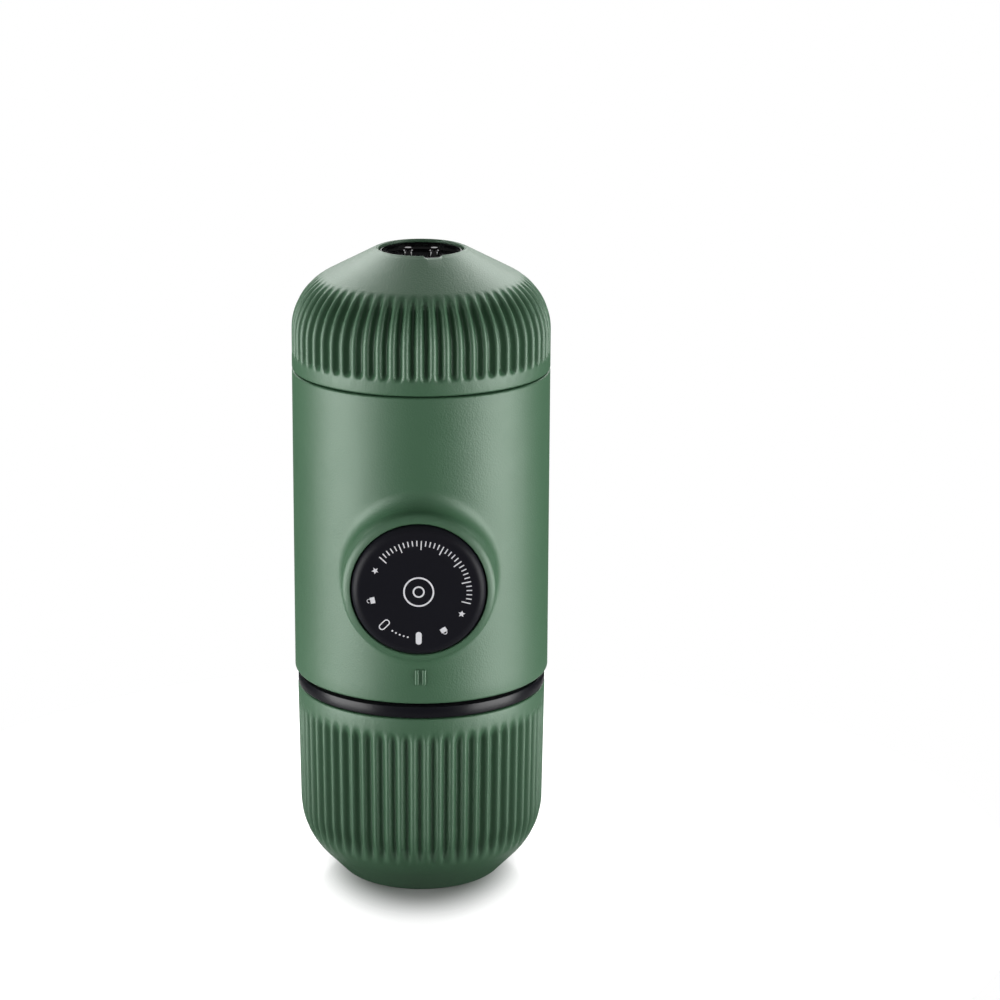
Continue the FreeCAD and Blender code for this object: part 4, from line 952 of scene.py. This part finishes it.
def make_alignment_marks():
    """Two small raised bars under the boss."""
    depth, height = MARK_SIZE[1:]
    place = (MARK_SHIFT - MARK_SPACING / 2, depth / 2 - BODY_RADIUS - MARK_PROUD, MARK_FOOT + height / 2)
    clear_selection()
    bpy.ops.mesh.primitive_cube_add(size=1, location=place, scale=MARK_SIZE)
    first = named("alignment_marks")
    settle(first)
    soften(first, MARK_EDGE, MARK_EDGE_STEPS)
    pick(first)
    bpy.ops.object.duplicate_move(TRANSFORM_OT_translate={"value": (MARK_SPACING, 0, 0)})
    second = bpy.context.active_object
    settle(second)
    piece = join(first, second)
    smooth(piece, 60)
    return fit_out(piece, "main_body", "green_shell", SOFT_GREEN)


# ---- Knob -------------------------------------------------------------------------------
def make_knob():
    """The knob's cap: a hollow skirt with a broad rounded edge and a flat face."""
    face = KNOB_FRONT - PRINT_THICKNESS
    bore = KNOB_RADIUS - KNOB_SKIRT
    corner = (KNOB_RADIUS - KNOB_ROUND, face - KNOB_ROUND)
    outline = [(KNOB_EYE, face - KNOB_THICKNESS), (bore - KNOB_EASE, face - KNOB_THICKNESS),
               (bore, face - KNOB_THICKNESS - KNOB_EASE), (bore, KNOB_BACK),
               (KNOB_RADIUS - KNOB_BEVEL, KNOB_BACK), (KNOB_RADIUS, KNOB_BACK + KNOB_BEVEL)]
    outline += arc(corner, KNOB_ROUND, 0, KNOB_ROUND_END, KNOB_ROUND_STEPS)
    outline += [(KNOB_RADIUS - KNOB_ROUND - KNOB_BEVEL, face - KNOB_FACE_FALL),
                (KNOB_RADIUS - KNOB_ROUND - KNOB_EASE, face), (KNOB_EYE, face)]
    piece = on_knob_axis(turned("knob", outline, segments=FINE_SEGMENTS, solid=True))
    smooth(piece, 35)
    return fit_out(piece, "knob", "knob_black", KNOB_BLACK, "knob_cap")


def lay_on_dial(piece, clock, radius, turn=0.0):
    """Turns a mark drawn flat in XY, stands it on the knob's face and sets it at a clock angle."""
    angle = math.radians(clock)
    settle(piece)
    piece.rotation_euler = (0, 0, angle + math.radians(turn))
    piece.location = (radius * math.cos(angle), radius * math.sin(angle), KNOB_FRONT - PRINT_THICKNESS)
    settle(piece)
    return on_knob_axis(piece)


def thicken(piece):
    """Gives a flat mark its thickness of ink."""
    open_mesh(piece)
    bpy.ops.mesh.extrude_region_move(TRANSFORM_OT_translate={"value": (0, 0, PRINT_THICKNESS)})
    bpy.ops.object.mode_set(mode="OBJECT")
    close_seams(piece)
    return piece


def disc(radius, vertices=24):
    clear_selection()
    bpy.ops.mesh.primitive_circle_add(vertices=vertices, radius=radius, fill_type="NGON")
    return bpy.context.active_object


def capsule(radius, length):
    """A long oval along X."""
    piece = disc(radius)
    for point in piece.data.vertices:
        point.co.x += math.copysign(length / 2 - radius, point.co.x) if abs(point.co.x) > 1e-7 else 0.0
    return piece


def hollow(piece, rim):
    """Leaves only a rim of the flat mark's face."""
    open_mesh(piece)
    bpy.ops.mesh.inset(thickness=rim)
    bpy.ops.mesh.delete(type="FACE")
    bpy.ops.object.mode_set(mode="OBJECT")
    return piece


def star(radius):
    piece = disc(radius, 10)
    for number, point in enumerate(piece.data.vertices):
        if number % 2:
            point.co *= STAR_WAIST
    return piece


def bar(length, width):
    clear_selection()
    bpy.ops.mesh.primitive_plane_add(size=1)
    piece = bpy.context.active_object
    piece.scale = (length, width, 1)
    settle(piece)
    return piece


def padlock(state):
    """A small padlock sign whose shackle is closed, or lifted with one leg short."""
    body = bar(*PADLOCK_BODY)
    shackle = hollow(disc(SHACKLE_RADIUS, 32), PADLOCK_LINE)
    for point in shackle.data.vertices:
        point.co.x = max(point.co.x, -SHACKLE_OVERLAP)
    shackle.location = (PADLOCK_TOP + SHACKLE_LIFT[state], 0, 0)
    settle(shackle)
    legs = []
    for side in (-1, 1):
        length, lift = SHORT_LEG if state == "open" and side == 1 else SHACKLE_LEG
        leg = bar(length, PADLOCK_LINE)
        leg.location = (PADLOCK_TOP + lift, side * SHACKLE_LEG_OUT, 0)
        settle(leg)
        legs.append(leg)
    return join(body, shackle, *legs)


def make_dial_print():
    """The dial's marks: two ovals and the dots between, stars, padlock signs, a scale and two rings."""
    marks = [lay_on_dial(thicken(capsule(*LOCKED_OVAL)), LOCKED_CLOCK, PRINT_RADIUS)]
    unlocked = hollow(capsule(*UNLOCKED_OVAL), PRINT_LINE)
    marks.append(lay_on_dial(thicken(unlocked), UNLOCKED_CLOCK, PRINT_RADIUS))
    for number in range(DOT_COUNT):
        clock = FIRST_DOT_CLOCK + DOT_SPACING * number
        marks.append(lay_on_dial(thicken(disc(DOT_RADIUS, 12)), clock, PRINT_RADIUS))
    for clock in STAR_CLOCKS:
        marks.append(lay_on_dial(thicken(star(STAR_RADIUS)), clock, PRINT_RADIUS, 90))
    for state, clock in PADLOCK_CLOCKS.items():
        marks.append(lay_on_dial(thicken(padlock(state)), clock, PRINT_RADIUS - PADLOCK_INSET))
    for number in range(PRINT_TICKS):
        clock = PRINT_FIRST_TICK + (PRINT_LAST_TICK - PRINT_FIRST_TICK) * number / (PRINT_TICKS - 1)
        length = LONG_TICK if number % TICKS_PER_LONG == 0 else SHORT_TICK
        tick = bar(length, PRINT_LINE)
        marks.append(lay_on_dial(thicken(tick), clock, PRINT_TICK_TOP - length / 2))
    for radius, vertices in ((WIDE_RING, 64), (SMALL_RING, 48)):
        marks.append(lay_on_dial(thicken(hollow(disc(radius, vertices), RING_LINE)), 0.0, 0.0))
    piece = join(*marks)
    piece.name = "dial_print"
    return fit_out(piece, "knob", None, PRINT)


# ---- Water tank -------------------------------------------------------------------------
def tank_section(inset):
    foot, dome = cup_section(inset)
    return [foot] + dome


def make_water_tank():
    """Tank, spigot, collar band and neck as one turned moulding."""
    inner = tank_section(TANK_INSET + TANK_WALL)
    outer = tank_section(TANK_INSET)
    spigot = CUP_RIM_RADIUS - CUP_WALL - SPIGOT_CLEARANCE
    spigot_foot = COLLAR_BOTTOM - SPIGOT_HEIGHT
    outline = inner[:-1] + [(NECK_BORE, CUP_DOME_Z), (NECK_BORE, TANK_TOP), (NECK_RADIUS, TANK_TOP),
                            (NECK_RADIUS, COLLAR_TOP), (COLLAR_RADIUS, COLLAR_TOP),
                            (COLLAR_RADIUS, COLLAR_BOTTOM), (spigot, COLLAR_BOTTOM),
                            (spigot, spigot_foot), (outer[-1][0] + CUP_DRAFT, spigot_foot)]
    outline += list(reversed(outer))
    piece = turned("tank_with_collar", outline, segments=FINE_SEGMENTS, solid=True)
    soften(piece, TANK_EDGE)
    smooth(piece, 40)
    return fit_out(piece, "tank", "tank_black", TANK_BLACK, "water_tank")


def make_thread(name, radius, bottom):
    """A low rounded thread wound round a neck."""
    half = THREAD_PITCH * THREAD_HALF_SHARE
    clear_selection()
    bpy.ops.mesh.primitive_circle_add(vertices=THREAD_SIDES, radius=half, location=(radius, 0, bottom),
                                      rotation=(math.radians(90), 0, 0))
    piece = named(name)
    piece.scale = (THREAD_HEIGHT / half, 1, 1)
    settle(piece)
    winding = piece.modifiers.new("winding", "SCREW")
    winding.angle = 2 * math.pi * THREAD_TURNS
    winding.screw_offset = THREAD_PITCH * THREAD_TURNS
    winding.steps = int(THREAD_STEPS * THREAD_TURNS)
    winding.render_steps = winding.steps
    bpy.ops.object.modifier_apply(modifier=winding.name)
    fill_eyes(piece)
    close_seams(piece)
    smooth(piece, 60)
    return piece


def make_threads():
    neck = make_thread("tank_neck_thread", NECK_RADIUS, COLLAR_TOP + TANK_THREAD_START)
    fit_out(neck, "tank", "tank_black", TANK_BLACK)
    head = make_thread("head_neck_thread", GROUP_NECK_RADIUS, BODY_TOP + GROUP_THREAD_START)
    fit_out(head, "main_body", "black_plastic", SATIN_BLACK)


# ---- Outlet head ------------------------------------------------------------------------
def on_nozzle_axis(piece, side):
    piece.location = (side * NOZZLE_OUT, 0, 0)
    settle(piece)
    return piece


def make_nozzle(side):
    """A short tube that stands on the dish's floor with a round at its foot."""
    top = OUTLET_TOP + OUTLET_RAISE
    floor = OUTLET_TOP - DISH_DEPTH
    sunk = floor - NOZZLE_SINK
    outline = [(NOZZLE_FOOT, sunk)] + arc((NOZZLE_FOOT, floor + NOZZLE_ROUND), NOZZLE_ROUND, -90, -160, 4)
    outline += [(radius, top - below) for radius, below in NOZZLE_TOP]
    outline += [(NOZZLE_BORE, sunk), (NOZZLE_FOOT, sunk)]
    return on_nozzle_axis(turned("nozzle", outline, segments=48), side)


def make_outlet_head():
    """Dished outlet with a stepped rim and two nozzles.

    The dish's round reaches past the rim's outer wall, so its faces come out turned inwards, and
    what would cut the bores stays standing as plugs below the stem and above the nozzles.
    """
    seat = OUTLET_TOP - OUTLET_FLANGE
    top = OUTLET_TOP + OUTLET_RAISE
    floor = OUTLET_TOP - DISH_DEPTH
    outline = [(OUTLET_STEM, OUTLET_BOTTOM), (OUTLET_STEM, seat), (OUTLET_RADIUS, seat),
               (OUTLET_RADIUS, top - OUTLET_BEVEL), (OUTLET_RADIUS - OUTLET_BEVEL, top),
               (OUTLET_RADIUS - OUTLET_RIM_WALL, top)]
    outline += arc((DISH_FLAT, floor + DISH_ROUND), DISH_ROUND, DISH_ROUND_START, -90, DISH_STEPS)
    piece = turned("outlet_dish", outline, solid=True)
    bore_ends = [(NOZZLE_BORE, OUTLET_BOTTOM - BORE_OVERCUT), (NOZZLE_BORE, OUTLET_TOP + BORE_OVERCUT)]
    for side in (-1, 1):
        bore = turned("bore", bore_ends, segments=32, solid=True)
        cut(piece, on_nozzle_axis(bore, side))
    piece = join(piece, *[make_nozzle(side) for side in (-1, 1)])
    smooth(piece, 38)
    return fit_out(piece, "outlet_head", "gloss_black", GLOSS_BLACK, "outlet_head")


# ---- Inner pieces that show when the maker is opened ------------------------------------
OPEN_TO_VIEW = ["group_head", "shower_screen", "group_gasket", "filter_basket", "portafilter_bowl",
                "tank_gasket", "pump_block", "guide_sleeve", "lock_ring", "return_spring", "piston_rod",
                "valve_retainer", "crema_valve", "intake_fitting", "intake_tube", "intake_strainer",
                "outlet_seal", "retaining_ring"]


def dress_inner_pieces():
    """Smooth copies of what shows when the maker is opened, and the slot's finish on the rest."""
    record = frame["record"]
    slots = {entry["node"]: entry["material_slot"] for entry in record["subparts"]}
    body_of = {node: body for body, nodes in record["behaviour"]["bodies"].items() for node in nodes}
    for name, node in NODES.items():
        finish = FINISHES[slots[name]]
        if node.hide_render:
            continue
        if name not in OPEN_TO_VIEW:
            node.data.materials.clear()
            node.data.materials.append(finish)
            continue
        pick(node)
        bpy.ops.object.duplicate()
        piece = named(name + "_finished")
        for key in list(piece.keys()):
            del piece[key]
        piece.parent = None
        close_seams(piece)
        smooth(piece, 35)
        fit_out(piece, body_of[name], slots[name], finish, name)


# ---- Studio -----------------------------------------------------------------------------
def eased(tree, value, start, end, low, high):
    """Runs smoothly from low to high while the value runs from start to end."""
    ramp = tree.nodes.new("ShaderNodeMapRange")
    ramp.interpolation_type = "SMOOTHSTEP"
    for label, number in (("From Min", start), ("From Max", end), ("To Min", low), ("To Max", high)):
        ramp.inputs[label].default_value = number
    tree.links.new(value, ramp.inputs["Value"])
    return ramp.outputs["Result"]


def make_world():
    """A dim room that the camera sees white, with a white paper backdrop for the gloss behind the table."""
    world = bpy.data.worlds.new("studio")
    bpy.context.scene.world = world
    world.use_nodes = True
    tree = world.node_tree
    path = tree.nodes.new("ShaderNodeLightPath")
    direction = tree.nodes.new("ShaderNodeSeparateXYZ")
    tree.links.new(tree.nodes.new("ShaderNodeTexCoord").outputs["Generated"], direction.inputs[0])
    behind = eased(tree, direction.outputs["Y"], *PAPER_TURN, 0.0, 1.0)
    above = eased(tree, direction.outputs["Z"], *PAPER_RISE, 0.0, 1.0)
    paper = add_math(tree, "MULTIPLY", behind, above)
    mirrored = add_math(tree, "MULTIPLY", path.outputs["Is Glossy Ray"], paper)
    seen = add_math(tree, "MAXIMUM", path.outputs["Is Camera Ray"], path.outputs["Is Transmission Ray"])
    white = add_math(tree, "MAXIMUM", seen, mirrored)
    level = eased(tree, direction.outputs["Z"], *ROOM_RISE, ROOM_LOW, ROOM_HIGH)
    ahead = eased(tree, direction.outputs["Y"], *ROOM_TURN, 1.0, ROOM_BEHIND)
    walls = add_math(tree, "MULTIPLY", level, ahead)
    room = add_math(tree, "ADD", walls, eased(tree, direction.outputs["Z"], *CEILING_RISE, 0.0, ROOM_CEILING))
    strength = add_math(tree, "MAXIMUM", white, room)
    backdrop = tree.nodes["Background"]
    backdrop.inputs["Color"].default_value = (1, 1, 1, 1)
    tree.links.new(strength, backdrop.inputs["Strength"])


def make_floor():
    """A round white table that goes down with the cup; it glows for the camera, but round the foot the glow
    is held back in a ring stretched sideways, a painted contact shadow.
    """
    clear_selection()
    bpy.ops.mesh.primitive_circle_add(vertices=96, radius=TABLE_RADIUS, fill_type="NGON")
    floor = named("table")
    material = bpy.data.materials.new("white table")
    material.use_nodes = True
    tree = material.node_tree
    shader = tree.nodes["Principled BSDF"]
    camera_ray = tree.nodes.new("ShaderNodeLightPath").outputs["Is Camera Ray"]
    # Painted contact shadow: the camera's glow is held back near the foot, over a ring stretched sideways.
    stretched = tree.nodes.new("ShaderNodeVectorMath")
    stretched.operation = "MULTIPLY"
    stretched.inputs[1].default_value = FLOOR_PAINTED_SHADOW_STRETCH
    tree.links.new(tree.nodes.new("ShaderNodeTexCoord").outputs["Object"], stretched.inputs[0])
    away = tree.nodes.new("ShaderNodeVectorMath")
    away.operation = "LENGTH"
    tree.links.new(stretched.outputs["Vector"], away.inputs[0])
    glow = eased(tree, away.outputs["Value"], *FLOOR_PAINTED_SHADOW_RING, FLOOR_GLOW_IN_PAINTED_SHADOW, FLOOR_GLOW_FAR)
    tree.links.new(add_math(tree, "MULTIPLY", camera_ray, glow), shader.inputs["Emission Strength"])
    shader.inputs["Emission Color"].default_value = (1, 1, 1, 1)
    tint = tree.nodes.new("ShaderNodeMix")
    tint.data_type = "RGBA"
    tint.inputs["A"].default_value = (FLOOR_BOUNCE, FLOOR_BOUNCE, FLOOR_BOUNCE, 1)
    tint.inputs["B"].default_value = (TABLE_WHITE, TABLE_WHITE, TABLE_WHITE, 1)
    tree.links.new(camera_ray, tint.inputs["Factor"])
    tree.links.new(tint.outputs["Result"], shader.inputs["Base Color"])
    shader.inputs["Roughness"].default_value = TABLE_ROUGHNESS
    shader.inputs["IOR"].default_value = TABLE_IOR
    floor.data.materials.append(material)
    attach(floor, "cup")


def from_middle(azimuth, elevation, distance):
    """A place round the object, the azimuth turning from the front to its right."""
    turn, rise = math.radians(azimuth), math.radians(elevation)
    flat = distance * math.cos(rise)
    return (flat * math.sin(turn), -flat * math.cos(turn), LAMP_TARGET[2] + distance * math.sin(rise))


def add_softbox(name, side, azimuth, elevation, distance, width, height, radiance):
    lamp = bpy.data.lights.new(name, "AREA")
    lamp.shape = "RECTANGLE"
    lamp.size = width
    lamp.size_y = height
    lamp.energy = math.pi * width * height * radiance
    box = bpy.data.objects.new(name, lamp)
    bpy.context.scene.collection.objects.link(box)
    place = from_middle(azimuth * side, elevation, distance)
    box.location = place
    box.rotation_euler = (Vector(LAMP_TARGET) - Vector(place)).to_track_quat("-Z", "Y").to_euler()
    box.visible_camera = False


def make_lights():
    """A softbox low on each side, one high behind each shoulder, and a large dim card in front."""
    for side in (-1, 1):
        add_softbox("side_softbox", side, *SIDE_SOFTBOX)
        add_softbox("back_softbox", side, *BACK_SOFTBOX)
    add_softbox("front_card", 1, *FRONT_CARD)


def make_camera():
    data = bpy.data.cameras.new("camera")
    data.lens = CAMERA_LENS
    data.sensor_width = 36.0
    camera = bpy.data.objects.new("camera", data)
    bpy.context.scene.collection.objects.link(camera)
    camera.location = CAMERA_PLACE
    aim = Euler((math.radians(CAMERA_TILT), 0, math.radians(CAMERA_PAN))).to_matrix()
    camera.rotation_euler = (aim @ Matrix.Rotation(math.radians(CAMERA_ROLL), 3, "Z")).to_euler()
    bpy.context.scene.camera = camera


# ---- The maker, then its studio ---------------------------------------------------------
make_portafilter_shell()
make_cup()
make_main_shell()
make_alignment_marks()
make_knob()
make_dial_print()
make_water_tank()
make_threads()
make_outlet_head()
dress_inner_pieces()
make_world()
make_floor()
make_lights()
make_camera()
bpy.context.scene.view_settings.view_transform = "Standard"
